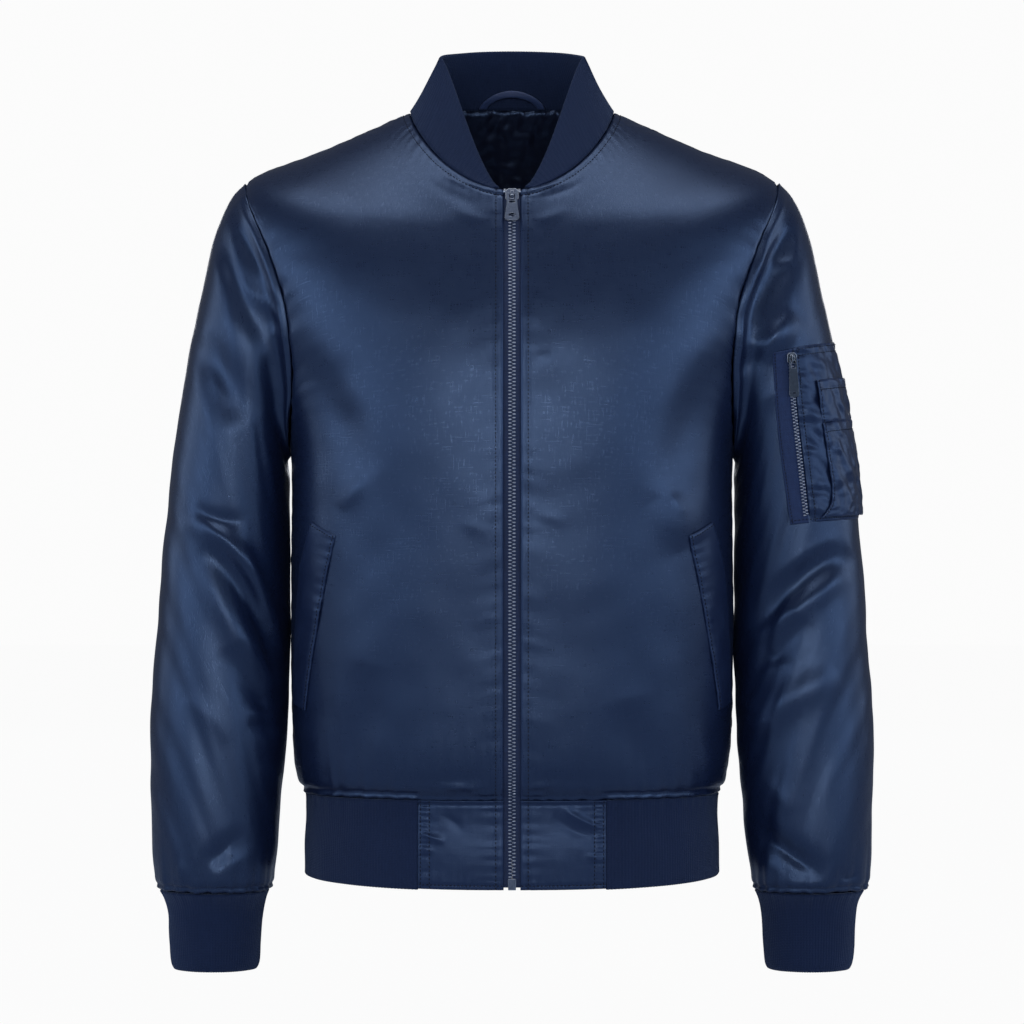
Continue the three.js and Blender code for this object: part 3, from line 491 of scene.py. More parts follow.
def collar_form(angle, height):
    """Points of the collar, from its seam (height 0) to its top edge (height 1)."""
    angle, height = paired(angle, height)
    seam = torso_form(angle, np.full(angle.shape, float(NECK)))
    sine, cosine = np.sin(np.radians(angle)), np.cos(np.radians(angle))
    front = cosine > 0
    end = np.where(front, COLLAR["front"], COLLAR["back"])
    drop = np.abs(cosine) ** np.where(front, COLLAR["dip"], 1)
    tip = 4 * np.clip((np.abs((angle + 180) % 360 - 180) - 10) / 7, 0.15, 1)
    edge = np.stack(
        [
            COLLAR["width"] * sine,
            np.where(front, -COLLAR["fore"] * np.abs(cosine) ** COLLAR["pull"], -COLLAR["aft"] * cosine),
            np.maximum(mix(COLLAR["side"], end, drop), seam[..., 2] + tip),
        ],
        -1,
    )
    length = np.linalg.norm(edge - seam, axis=-1)
    bulge = COLLAR["bulge"] * sine ** 2 * np.minimum(1, length / 40) * np.sin(np.pi * height)
    start = (GAP + 0.2) / length
    share = start + height * (1 - start)
    outward = np.stack([sine, -cosine, np.zeros_like(sine)], -1)
    return mix(seam, edge, share[..., None]) + outward * bulge[..., None]


# ---------------------------------------------------------------- relief


def uneven(along, pitch, seed):
    """Uneven waves along a line, from -1 to 1, about a pitch long."""
    draw = np.random.default_rng(seed)
    count = int((np.max(along) - np.min(along)) / pitch * 2) + 8
    steps = pitch / 2 * draw.uniform(0.55, 1.45, count)
    stops = np.min(along) - pitch + np.cumsum(steps)
    heights = draw.uniform(0.25, 1.0, count) * np.where(np.arange(count) % 2, -1, 1)
    index = np.clip(np.searchsorted(stops, along) - 1, 0, count - 2)
    share = np.clip((along - stops[index]) / (stops[index + 1] - stops[index]), 0, 1)
    return mix(heights[index], heights[index + 1], (1 - np.cos(np.pi * share)) / 2)


def billow(u, v, size, seed, lean=0.0, spread=math.pi / 2):
    """Soft random waves over a surface, about a size long; lean and spread are their directions."""
    draw = np.random.default_rng(seed)
    total = np.zeros(np.shape(u))
    for _ in range(14):
        heading = lean + draw.uniform(-spread, spread)
        stretch = 2 * math.pi / (size * draw.uniform(0.7, 1.5))
        phase = draw.uniform(0, 2 * math.pi)
        total += np.cos(stretch * (u * math.cos(heading) + v * math.sin(heading)) + phase)
    return total / math.sqrt(14)


def dip(distance, centre, half):
    """A soft groove or ridge at a distance from an edge."""
    return np.exp(-(((distance - centre) / half) ** 2))


def fade(distance, reach):
    """A rise at an edge that dies away from it."""
    return np.exp(-distance / reach)


class Sheet:
    """A grid of points on a cloth surface, with its distances along and across in millimetres."""

    def __init__(self, points, closed=False, flip=False):
        self.points = points
        self.closed = closed
        self.flip = flip
        self.measure()

    def measure(self):
        grid = self.points
        ring = np.concatenate([grid, grid[:, :1]], 1) if self.closed else grid
        across = np.linalg.norm(np.diff(ring, axis=1), axis=-1)
        along = np.linalg.norm(np.diff(grid, axis=0), axis=-1)
        self.u = np.concatenate([np.zeros((len(grid), 1)), np.cumsum(across, 1)], 1)
        self.width = self.u[:, -1:]
        self.u = self.u[:, : grid.shape[1]] if self.closed else self.u
        self.v = np.concatenate([np.zeros((1, grid.shape[1])), np.cumsum(along, 0)], 0)
        self.length = self.v[-1:, :]

    @property
    def x(self):
        return self.points[..., 0]

    @property
    def z(self):
        return self.points[..., 2]

    def normals(self):
        grid = self.points
        if self.closed:
            wrapped = np.concatenate([grid[:, -1:], grid, grid[:, :1]], 1)
            across = wrapped[:, 2:] - wrapped[:, :-2]
        else:
            across = np.gradient(grid, axis=1)
        normal = unit(np.cross(across, np.gradient(grid, axis=0)))
        return -normal if self.flip else normal

    def lift(self, amount):
        self.points = self.points + self.normals() * np.asarray(amount)[..., None]
        return self

    def at(self, row, column):
        """Points between the grid's own, by fractions of a row and a column."""
        rows, columns = self.points.shape[:2]
        row, column = np.clip(row, 0, rows - 1.001), np.clip(column, 0, columns - 1.001)
        r, c = row.astype(int), column.astype(int)
        s, t = (row - r)[:, None], (column - c)[:, None]
        grid = self.points
        return mix(mix(grid[r, c], grid[r, c + 1], t), mix(grid[r + 1, c], grid[r + 1, c + 1], t), s)


def line_across(field, value):
    """Where each row of a field passes a value: row and column numbers for Sheet.at."""
    column = np.array([np.interp(value, row, np.arange(len(row))) for row in field])
    return np.arange(len(field), dtype=float), column


def line_along(field, value):
    """Where each column of a field passes a value."""
    column, row = line_across(field.T, value)
    return row, column


# ---------------------------------------------------------------- meshes


def mesh_object(name, points, faces, uv=None):
    mesh = bpy.data.meshes.new(name)
    mesh.from_pydata((np.asarray(points) * MM).tolist(), [], faces)
    mesh.update()
    if uv is not None:
        layer = mesh.uv_layers.new(name="cloth")
        layer.data.foreach_set("uv", (np.asarray(uv, float) * MM).ravel())
    mesh.polygons.foreach_set("use_smooth", [True] * len(mesh.polygons))
    piece = bpy.data.objects.new(name, mesh)
    bpy.context.scene.collection.objects.link(piece)
    return piece


def worn(piece, node, slot, **cloth):
    """Puts a piece on the jacket in place of a CAD node; cloth, how a sheet was cut and is held, is not used."""
    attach(piece, "jacket")
    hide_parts(node)


def edge_mask(sheet, edges):
    """1 on the named folded edges of a sheet, fading over a few millimetres."""
    away = {"start": sheet.u, "end": sheet.width - sheet.u, "low": sheet.v, "high": sheet.length - sheet.v}
    near = np.full(sheet.points.shape[:2], 1e3)
    for edge in edges:
        near = np.minimum(near, away[edge])
    return fade(near, 2.5)


def shell(name, sheet, thick, face, lining=None, edges=(), inside=None):
    """A closed wall of cloth under a sheet, with its edges closed."""
    outer = sheet.points
    inner = outer - sheet.normals() * thick if inside is None else inside
    rows, ring = outer.shape[:2]
    count = ring if sheet.closed else ring - 1
    points = np.concatenate([outer.reshape(-1, 3), inner.reshape(-1, 3)])
    r, c = np.meshgrid(np.arange(rows - 1), np.arange(count), indexing="ij")
    r, c = r.ravel(), c.ravel()
    n = (c + 1) % ring
    base = rows * ring
    quads = np.stack([r * ring + c, r * ring + n, (r + 1) * ring + n, (r + 1) * ring + c], 1)
    flat_u = np.concatenate([sheet.u, sheet.width], 1) if sheet.closed else sheet.u
    flat_v = np.concatenate([sheet.v, sheet.v[:, :1]], 1) if sheet.closed else sheet.v
    corners = [(r, c), (r, c + 1), (r + 1, c + 1), (r + 1, c)]
    uv = np.stack([np.stack([flat_u[a, b], flat_v[a, b]], -1) for a, b in corners], 1)
    faces, coords = [quads, quads[:, ::-1] + base], [uv, uv[:, ::-1]]
    k, m = np.arange(count), np.arange(rows - 1)
    rims = [((0, k), (0, k + 1), True), ((rows - 1, k), (rows - 1, k + 1), False)]
    if not sheet.closed:
        rims += [((m, 0), (m + 1, 0), False), ((m, ring - 1), (m + 1, ring - 1), True)]
    for here, ahead, turn in rims:
        a, b = (spot[0] * ring + spot[1] % ring for spot in (here, ahead))
        start, end = (np.stack([flat_u[spot], flat_v[spot]], -1) for spot in (here, ahead))
        rim, rim_uv = np.stack([a, b, base + b, base + a], 1), np.stack([start, end, end, start], 1)
        faces.append(rim[:, ::-1] if turn else rim)
        coords.append(rim_uv[:, ::-1] if turn else rim_uv)
    faces, coords = np.concatenate(faces), np.concatenate(coords)
    if sheet.flip:
        faces, coords = faces[:, ::-1], coords[:, ::-1]
    faces, coords = faces[:, ::-1], coords[:, ::-1]
    piece = mesh_object(name + "_cloth", points, faces.tolist(), coords.reshape(-1, 2))
    corner = points[faces]
    volume = np.einsum("ij,ij->i", corner[:, 0], np.cross(corner[:, 1], corner[:, 2])).sum()
    volume += np.einsum("ij,ij->i", corner[:, 0], np.cross(corner[:, 2], corner[:, 3])).sum()
    if volume < 0:
        piece.data.flip_normals()
    piece.data.materials.append(face)
    if lining is not None:
        piece.data.materials.append(lining)
        index = np.zeros(len(faces), int)
        index[len(quads) : 2 * len(quads)] = 1
        piece.data.polygons.foreach_set("material_index", index)
    mask = edge_mask(sheet, edges) if edges else np.zeros((rows, ring))
    layer = piece.data.attributes.new("edge", "FLOAT", "POINT")
    layer.data.foreach_set("value", np.concatenate([mask.ravel(), mask.ravel()]))
    return piece


def even_rows(form, angle, start, end, count, near=(0, 0)):
    """Row numbers at even distances along a form's line, with extra ones near its two ends."""
    row = np.linspace(start, end, 900)
    line = form(np.full(900, float(angle)), row)
    length = np.concatenate([[0], np.cumsum(np.linalg.norm(np.diff(line, axis=0), axis=1))])
    low, high = (14 if extra else 0 for extra in near)
    stops = [
        np.linspace(0, low, near[0], endpoint=False),
        np.linspace(low, length[-1] - high, count),
        np.linspace(length[-1] - high, length[-1], near[1] + 1)[1:],
    ]
    return np.interp(np.concatenate(stops), length, row)


def resample(points, pitch):
    """Points and directions at an even pitch along a line."""
    length = np.concatenate([[0], np.cumsum(np.linalg.norm(np.diff(points, axis=0), axis=1))])
    count = max(2, int(length[-1] / pitch))
    stops = (np.arange(count) + 0.5) * length[-1] / count
    spots = np.stack([np.interp(stops, length, points[:, n]) for n in range(3)], 1)
    ahead = np.stack([np.interp(stops + 0.8, length, points[:, n]) for n in range(3)], 1)
    behind = np.stack([np.interp(stops - 0.8, length, points[:, n]) for n in range(3)], 1)
    return spots, unit(ahead - behind)


def bar_faces(count, levels, sides, base):
    """Faces of many small closed bars, each a row of rings; their points come ring corner by corner."""
    faces = []
    for n in range(count):
        rings = [[base + (level * sides + side) * count + n for side in range(sides)] for level in range(levels)]
        for low, high in zip(rings, rings[1:]):
            for a in range(sides):
                b = (a + 1) % sides
                faces.append([low[a], low[b], high[b], high[a]])
        faces += [rings[0][::-1], rings[-1]]
    return faces


class Sewing:
    """Lines of thread, each stitch a small rounded bar on the cloth, in a thread colour darkened to paint the
    shade of the stitch holes.
    """

    ENDS = [(-0.5, 0.45), (-0.36, 1.0), (0.36, 1.0), (0.5, 0.45)]
    RING = [(1, 0.0), (0.35, 0.85), (-0.35, 0.85), (-1, 0.0), (0, -0.5)]

    def __init__(self, length, pitch, half):
        self.length, self.pitch, self.half = length, pitch, half
        self.points, self.faces, self.count = [], [], 0

    def line(self, sheet, way, field, value):
        """Stitches where a distance over a sheet passes a value, by line_across or line_along."""
        r, c = way(field, value)
        outward = sheet.normals()[r.astype(int), c.astype(int)]
        spots, ahead = resample(sheet.at(r, c), self.pitch)
        outward = outward[np.linspace(0, len(outward) - 1, len(spots)).astype(int)]
        out = unit(outward - ahead * np.sum(ahead * outward, -1, keepdims=True))
        across = np.cross(ahead, out)
        for reach, size in self.ENDS:
            along = spots + ahead * reach * self.length
            for side, up in self.RING:
                raised = out * (up * self.half * size + 0.12)
                self.points.append(along + across * side * self.half * size + raised)
        self.faces += bar_faces(len(spots), len(self.ENDS), len(self.RING), self.count)
        self.count += len(self.ENDS) * len(self.RING) * len(spots)

    def piece(self, name):
        piece = mesh_object(name, np.concatenate(self.points), self.faces)
        piece.data.materials.append(THREAD_WITH_HOLE_SHADE)
        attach(piece, "jacket")


# ---------------------------------------------------------------- finishes


def linear(colour):
    """A colour as the eye sees it, from 0 to 255, as the shader's own numbers."""
    parts = [part / 255 for part in colour]
    return tuple(p / 12.92 if p < 0.04045 else ((p + 0.055) / 1.055) ** 2.4 for p in parts) + (1.0,)


FLOAT, VECTOR, COLOUR = "NodeSocketFloat", "NodeSocketVector", "NodeSocketColor"


class Nodes:
    """Adds nodes to a tree and wires them."""

    def __init__(self, tree):
        self.tree = tree

    def add(self, kind, settings=(), **values):
        node = self.tree.nodes.new(kind)
        for name, value in dict(settings).items():
            setattr(node, name, value)
        for name, value in values.items():
            self.feed(node.inputs[name.replace("_", " ")], value)
        return node

    def feed(self, socket, value):
        if isinstance(value, bpy.types.NodeSocket):
            self.tree.links.new(value, socket)
        else:
            socket.default_value = value

    def math(self, how, *values):
        node = self.tree.nodes.new("ShaderNodeMath")
        node.operation = how
        for n, value in enumerate(values):
            self.feed(node.inputs[n], value)
        return node.outputs[0]

    def times(self, *values):
        return self.math("MULTIPLY", *values)

    def plus(self, *values):
        return self.math("ADD", *values)

    def tint(self, factor, first, second, how="MIX"):
        node = self.tree.nodes.new("ShaderNodeMix")
        node.data_type = "RGBA"
        node.blend_type = how
        for n, value in ((0, factor), (6, first), (7, second)):
            self.feed(node.inputs[n], value)
        return node.outputs[2]

    def stretched(self, vector, scale):
        node = self.add("ShaderNodeMapping", Vector=vector)
        node.inputs["Scale"].default_value = scale
        return node.outputs["Vector"]

    def noise(self, vector, scale, detail=2.0, rough=0.5):
        node = self.add("ShaderNodeTexNoise", Vector=vector, Scale=scale, Detail=detail, Roughness=rough)
        return node.outputs["Fac"]


def effect(name, inputs, outputs):
    """A shader node group with named inputs and outputs, ready to be filled."""
    tree = bpy.data.node_groups.new(name, "ShaderNodeTree")
    for label, kind, value in inputs:
        socket = tree.interface.new_socket(label, in_out="INPUT", socket_type=kind)
        if value is not None:
            socket.default_value = value
    for label, kind in outputs:
        tree.interface.new_socket(label, in_out="OUTPUT", socket_type=kind)
    nodes = Nodes(tree)
    source = tree.nodes.new("NodeGroupInput").outputs
    sink = tree.nodes.new("NodeGroupOutput").inputs
    return tree, nodes, source, sink


def weave_effect():
    """Fine threads in both directions, with slubs: a height and a mask."""
    tree, nodes, source, sink = effect(
        "Weave",
        [("Cloth", VECTOR, None), ("Thread", FLOAT, 0.0005), ("Slub", FLOAT, 0.5)],
        [("Height", FLOAT), ("Mask", FLOAT)],
    )
    turns = nodes.math("DIVIDE", math.pi, source["Thread"])
    parts = nodes.add("ShaderNodeSeparateXYZ", Vector=source["Cloth"])
    warp = nodes.math("SINE", nodes.times(parts.outputs["X"], turns))
    weft = nodes.math("SINE", nodes.times(parts.outputs["Y"], turns))
    threads = nodes.times(nodes.times(warp, weft), 0.5)
    long_slub = nodes.noise(nodes.stretched(source["Cloth"], (60, 900, 1)), 1.0, 2.0)
    up_slub = nodes.noise(nodes.stretched(source["Cloth"], (900, 90, 1)), 1.0, 2.0)
    both = nodes.math("SUBTRACT", nodes.plus(long_slub, up_slub), 1.0)
    slubs = nodes.times(both, source["Slub"])
    nodes.feed(sink["Height"], nodes.plus(threads, nodes.times(slubs, 2.0)))
    nodes.feed(sink["Mask"], nodes.plus(slubs, 0.5))
    return tree


def knit_effect():
    """Small chained stitches of a rib knit: a height."""
    tree, nodes, source, sink = effect(
        "Knit",
        [("Cloth", VECTOR, None), ("Stitch", FLOAT, 0.0014)],
        [("Height", FLOAT)],
    )
    parts = nodes.add("ShaderNodeSeparateXYZ", Vector=source["Cloth"])
    turns = nodes.math("DIVIDE", 2 * math.pi, source["Stitch"])
    swing = nodes.math("SINE", nodes.times(parts.outputs["X"], nodes.times(turns, 0.5)))
    side = nodes.math("ABSOLUTE", swing)
    slant = nodes.plus(nodes.times(parts.outputs["Y"], turns), nodes.times(side, 2.0))
    loops = nodes.times(nodes.plus(nodes.math("SINE", slant), 1.0), 0.5)
    fuzz = nodes.noise(nodes.stretched(source["Cloth"], (2500, 2500, 1)), 1.0, 2.0)
    nodes.feed(sink["Height"], nodes.plus(nodes.times(loops, side), nodes.times(fuzz, 0.6)))
    return tree


def shade_effect():
    """Slight drift of a colour over a piece, and a paler, worn line along its folded edges."""
    tree, nodes, source, sink = effect(
        "Shade",
        [
            ("Place", VECTOR, None),
            ("Colour", COLOUR, (0.1, 0.1, 0.1, 1)),
            ("Deep", COLOUR, (0.05, 0.05, 0.05, 1)),
            ("Worn", COLOUR, (0.3, 0.3, 0.3, 1)),
            ("Drift", FLOAT, 0.4),
            ("Wear", FLOAT, 0.3),
        ],
        [("Colour", COLOUR), ("Mask", FLOAT)],
    )
    broad = nodes.noise(nodes.stretched(source["Place"], (9, 9, 7)), 1.0, 3.0, 0.6)
    fine = nodes.noise(nodes.stretched(source["Place"], (140, 140, 120)), 1.0, 2.0)
    both = nodes.plus(nodes.times(broad, 0.7), nodes.times(fine, 0.3))
    drift = nodes.times(both, source["Drift"])
    colour = nodes.tint(drift, source["Colour"], source["Deep"])
    edge = nodes.add("ShaderNodeAttribute", {"attribute_name": "edge"}).outputs["Fac"]
    rub = nodes.noise(nodes.stretched(source["Place"], (420, 420, 420)), 1.0, 3.0)
    worn = nodes.times(nodes.times(edge, rub), source["Wear"])
    nodes.feed(sink["Colour"], nodes.tint(worn, colour, source["Worn"]))
    nodes.feed(sink["Mask"], both)
    return tree


def scratch_effect():
    """Fine scratches and handling marks on metal: a mask and a height."""
    tree, nodes, source, sink = effect(
        "Scratches",
        [("Place", VECTOR, None), ("Size", FLOAT, 900.0)],
        [("Mask", FLOAT), ("Height", FLOAT)],
    )
    brushed = nodes.noise(nodes.stretched(source["Place"], (1, 1, 0.12)), source["Size"], 3.0)
    spots = nodes.noise(source["Place"], nodes.times(source["Size"], 0.3), 4.0)
    nodes.feed(sink["Mask"], nodes.times(nodes.plus(brushed, spots), 0.5))
    nodes.feed(sink["Height"], brushed)
    return tree


WEAVE = weave_effect()
KNIT = knit_effect()
SHADE = shade_effect()
SCRATCHES = scratch_effect()


def finish(name):
    """A new material with its shader, and helpers to fill it."""
    material = bpy.data.materials.new(name)
    material.use_nodes = True
    shader = material.node_tree.nodes["Principled BSDF"]
    return material, Nodes(material.node_tree), shader


def placed(nodes, tree, **values):
    node = nodes.add("ShaderNodeGroup", {"node_tree": tree})
    for name, value in values.items():
        nodes.feed(node.inputs[name.replace("_", " ")], value)
    return node.outputs


def fixed(shader, **values):
    """Sets the shader's own sockets to what is the same all over."""
    for name, value in values.items():
        shader.inputs[name.replace("_", " ")].default_value = value


def coordinates(nodes):
    cloth = nodes.add("ShaderNodeUVMap", {"uv_map": "cloth"}).outputs["UV"]
    place = nodes.add("ShaderNodeTexCoord").outputs["Object"]
    return cloth, place


def spread_roughness(nodes, shader, mask, low, high):
    span = nodes.add("ShaderNodeMapRange", Value=mask, To_Min=low, To_Max=high)
    nodes.feed(shader.inputs["Roughness"], span.outputs["Result"])


def bumped(nodes, shader, height, strength, distance):
    bump = nodes.add("ShaderNodeBump", Height=height, Strength=strength, Distance=distance)
    nodes.feed(shader.inputs["Normal"], bump.outputs["Normal"])


def satin_finish(name, colours, rough, gleam=0.9):
    """Satin: a smooth face of long threads, with a broad tinted gleam."""
    colour, deep, worn = map(linear, colours)
    material, nodes, shader = finish(name)
    cloth, place = coordinates(nodes)
    weave = placed(nodes, WEAVE, Cloth=cloth, Thread=0.00035, Slub=1.0)
    shade = placed(nodes, SHADE, Place=place, Colour=colour, Deep=deep, Worn=worn, Drift=0.5, Wear=0.45)
    nodes.feed(shader.inputs["Base Color"], shade["Colour"])
    mottled = nodes.plus(weave["Mask"], nodes.times(shade["Mask"], 0.5))
    spread_roughness(nodes, shader, mottled, *rough)
    bumped(nodes, shader, weave["Height"], 0.35, 0.00006)
    fixed(shader, IOR=1.62, Specular_IOR_Level=gleam, Specular_Tint=(0.36, 0.56, 1.0, 1))
    fixed(shader, Sheen_Weight=0.03, Sheen_Roughness=0.4, Sheen_Tint=(0.4, 0.55, 1.0, 1))
    return material


def knit_finish(name, colours, sheen=0.25):
    """Rib knit: matt, fuzzy and finely stitched, with painted shade in the hollows between its stitches."""
    colour, deep, worn = map(linear, colours)
    material, nodes, shader = finish(name)
    cloth, place = coordinates(nodes)
    knit = placed(nodes, KNIT, Cloth=cloth, Stitch=0.0014)
    shade = placed(nodes, SHADE, Place=place, Colour=colour, Deep=deep, Worn=worn, Drift=0.6, Wear=0.35)
    # Painted shade: the base colour is darkened towards the deep colour in the hollows between the knit's
    # stitches.
    hollow = nodes.times(nodes.math("SUBTRACT", 1.0, knit["Height"]), 0.35)
    nodes.feed(shader.inputs["Base Color"], nodes.tint(hollow, shade["Colour"], deep))
    spread_roughness(nodes, shader, knit["Height"], 0.95, 0.8)
    bumped(nodes, shader, knit["Height"], 0.6, 0.0003)
    fixed(shader, Specular_IOR_Level=0.25, Sheen_Weight=sheen)
    fixed(shader, Sheen_Roughness=0.5, Sheen_Tint=(0.5, 0.65, 1.0, 1))
    return material


def tape_finish(name, colours, thread, rough=(0.7, 0.85), strength=0.7):
    """Woven tape or band: matt, with threads that show."""
    colour, deep, worn = map(linear, colours)
    material, nodes, shader = finish(name)
    cloth, place = coordinates(nodes)
    weave = placed(nodes, WEAVE, Cloth=cloth, Thread=thread, Slub=0.8)
    shade = placed(nodes, SHADE, Place=place, Colour=colour, Deep=deep, Worn=worn, Drift=0.5, Wear=0.5)
    nodes.feed(shader.inputs["Base Color"], nodes.tint(weave["Mask"], deep, shade["Colour"]))
    spread_roughness(nodes, shader, weave["Mask"], *rough)
    bumped(nodes, shader, weave["Height"], strength, 0.0002)
    fixed(shader, Specular_IOR_Level=0.3, Sheen_Weight=0.12, Sheen_Tint=(0.4, 0.58, 1.0, 1))
    return material


def metal_finish(name, colours, rough):
    """Plated metal: dark, with handling marks that show paler and rougher."""
    colour, deep = map(linear, colours)
    material, nodes, shader = finish(name)
    place = nodes.add("ShaderNodeTexCoord").outputs["Object"]
    marks = placed(nodes, SCRATCHES, Place=place, Size=1400.0)
    nodes.feed(shader.inputs["Base Color"], nodes.tint(marks["Mask"], deep, colour))
    spread_roughness(nodes, shader, marks["Mask"], *rough)
    bumped(nodes, shader, marks["Height"], 0.2, 0.00005)
    fixed(shader, Metallic=1.0)
    return material


SATIN = satin_finish("navy satin", ((21, 31, 59), (16, 24, 48), (56, 74, 118)), (0.17, 0.37))
POCKET_SATIN = satin_finish(
    "pocket satin", ((24, 35, 66), (18, 27, 53), (56, 72, 112)), (0.2, 0.4), gleam=0.7
)
LINING_SATIN = satin_finish("dark lining", ((30, 34, 56), (18, 21, 38), (48, 56, 86)), (0.3, 0.42))
RIB = knit_finish("navy rib knit", ((26, 45, 84), (16, 26, 52), (42, 58, 92)))
COLLAR_RIB = knit_finish("navy collar knit", ((24, 42, 78), (14, 26, 54), (38, 56, 94)), sheen=0.15)
ZIP_TAPE = tape_finish("zip tape", ((52, 68, 108), (26, 36, 62), (62, 76, 110)), 0.0009)
POCKET_BAND = tape_finish("pocket band", ((50, 72, 120), (30, 45, 82), (62, 80, 120)), 0.0011)
STRAP = tape_finish(
    "hanging strap", ((64, 84, 132), (44, 58, 98), (90, 108, 150)), 0.0008, (0.3, 0.45), 0.3
)
# The thread's colour is partly its own navy and partly painted shade: it is darkened to stand for the shade in
# the stitch holes.
THREAD_WITH_HOLE_SHADE = tape_finish("thread", ((9, 18, 48), (5, 10, 28), (26, 38, 74)), 0.0005, (0.6, 0.75), 0.5)
METAL = metal_finish("plated metal", ((124, 136, 160), (60, 70, 92)), (0.3, 0.46))
DARK_METAL = metal_finish("dark plated metal", ((78, 86, 100), (36, 42, 52)), (0.3, 0.46))
# Painted highlight: a paler copy of the plating, put on the bevelled rims of the hardware so they show as lit.
RIM_HIGHLIGHT_METAL = metal_finish("painted rim highlights", ((222, 230, 244), (160, 170, 192)), (0.25, 0.4))
TEETH_METAL = metal_finish("zip teeth", ((206, 214, 232), (120, 130, 150)), (0.24, 0.4))

# ---------------------------------------------------------------- camera, lights and stage

camera = bpy.data.objects.new("camera", bpy.data.cameras.new("camera"))
camera.data.sensor_width = 36
camera.data.lens = 121.2
camera.data.clip_end = 50
camera.location = (0, -3.0, -0.343)
camera.rotation_euler = (math.radians(90), 0, 0)
bpy.context.scene.collection.objects.link(camera)
bpy.context.scene.camera = camera


def softbox(name, place, target, wide, high, power_watts, colour=(1, 1, 1)):
    light = bpy.data.lights.new(name, "AREA")
    light.shape = "RECTANGLE"
    light.size, light.size_y = wide, high
    light.energy = power_watts
    light.color = colour
    box = bpy.data.objects.new(name, light)
    box.location = place
    box.rotation_euler = (Vector(target) - Vector(place)).to_track_quat("-Z", "Y").to_euler()
    bpy.context.scene.collection.objects.link(box)


def stage_material():
    """A pale, even ground that the camera sees as near white."""
    material, nodes, shader = finish("pale stage")
    fixed(shader, Base_Color=(0.48, 0.53, 0.62, 1), Roughness=0.9, Specular_IOR_Level=0.1)
    seen = nodes.add("ShaderNodeLightPath").outputs["Is Camera Ray"]
    glow = nodes.add("ShaderNodeEmission", Color=(1, 1, 1, 1), Strength=0.99)
    blend = nodes.add("ShaderNodeMixShader")
    nodes.feed(blend.inputs[0], nodes.times(seen, 0.97))
    nodes.feed(blend.inputs[1], shader.outputs["BSDF"])
    nodes.feed(blend.inputs[2], glow.outputs["Emission"])
    output = material.node_tree.nodes["Material Output"]
    nodes.feed(output.inputs["Surface"], blend.outputs["Shader"])
    return material


def stage():
    """A plain pale floor under the jacket."""
    turns = np.arange(64) * 2 * math.pi / 64
    points = [(STAGE_RADIUS * math.cos(turn), STAGE_RADIUS * math.sin(turn), STAGE_HEIGHT) for turn in turns]
    floor = mesh_object("studio_floor", points, [list(range(64))])
    floor.data.materials.append(stage_material())


def studio_air():
    """Faint even light from all round, which the camera sees as near white."""
    world = bpy.data.worlds.new("studio air")
    world.use_nodes = True
    nodes = Nodes(world.node_tree)
    soft = world.node_tree.nodes["Background"]
    soft.inputs["Color"].default_value = (0.9, 0.94, 1.0, 1)
    soft.inputs["Strength"].default_value = 0.13
    seen = nodes.add("ShaderNodeLightPath").outputs["Is Camera Ray"]
    pale = nodes.add("ShaderNodeBackground", Color=(1, 1, 1, 1), Strength=0.97)
    blend = nodes.add("ShaderNodeMixShader")
    nodes.feed(blend.inputs[0], seen)
    nodes.feed(blend.inputs[1], soft.outputs["Background"])
    nodes.feed(blend.inputs[2], pale.outputs["Background"])
    nodes.feed(world.node_tree.nodes["World Output"].inputs["Surface"], blend.outputs["Shader"])
    bpy.context.scene.world = world


stage()
bpy.context.scene.view_settings.view_transform = "Standard"
studio_air()
softbox("front_box", (0, -4.4, 0.42), (0, 0, 0.42), 3.2, 0.76, 34)
for side in (-1, 1):
    for turn, reach, wide, glow in ((36, 3.6, 1.6, 7.4), (64, 2.9, 1.5, 9), (98, 2.6, 1.1, 5)):
        x, y = side * reach * math.sin(math.radians(turn)), -reach * math.cos(math.radians(turn))
        softbox(f"side_box_{turn}_{side}", (x, y, 0.2), (0, 0, 0.2), wide, 1.0, glow, (0.74, 0.86, 1.0))
softbox("top_box", (0, -0.5, 1.9), (0, 0, -0.1), 2.6, 1.0, 17)
softbox("back_box", (0, 4.4, 0.42), (0, 0, 0.42), 3.2, 0.76, 20)

# ---------------------------------------------------------------- body panels

SEAM_STITCH = Sewing(1.9, 3.3, 0.46)


def cloth_rows(low, high, count, angle, near=(0, 0)):
    return even_rows(torso_form, angle, low, high, count, near)


def creases(folds, sheet, front=True, turn=1.0):
    """The lift of a sheet's finer creases, on the front or back and where the cloth is turned to it."""
    everywhere = np.ones(sheet.x.shape)
    return fold_lift(folds, sheet.points, everywhere * front > 0, everywhere * turn, CREASE_CRISP)


def panel_relief(sheet, seed, front):
    """The small relief that every body panel has: soft waves, and creases placed one by one."""
    relief = 0.45 * billow(sheet.x, sheet.z, 120, seed) + 0.12 * billow(sheet.x, sheet.z, 42, seed + 1)
    return relief + creases(TORSO_CREASES, sheet, front)


def hem_roll(sheet, from_hem, over_rib, seed):
    """The cord of gathered cloth where a panel meets the hem: full above the rib, flat elsewhere."""
    ticks = 1 + 0.35 * uneven(sheet.u, 4.2, seed)
    roll = 1.25 * dip(from_hem, 2.4, 1.7) * ticks - 0.9 * dip(from_hem, 6.2, 2.2)
    flat = 0.35 * dip(from_hem, 1.6, 1.2)
    return np.where(over_rib, roll - 0.9 * dip(from_hem, 0, 0.9), flat) + 0.5 * dip(from_hem, 12, 6)


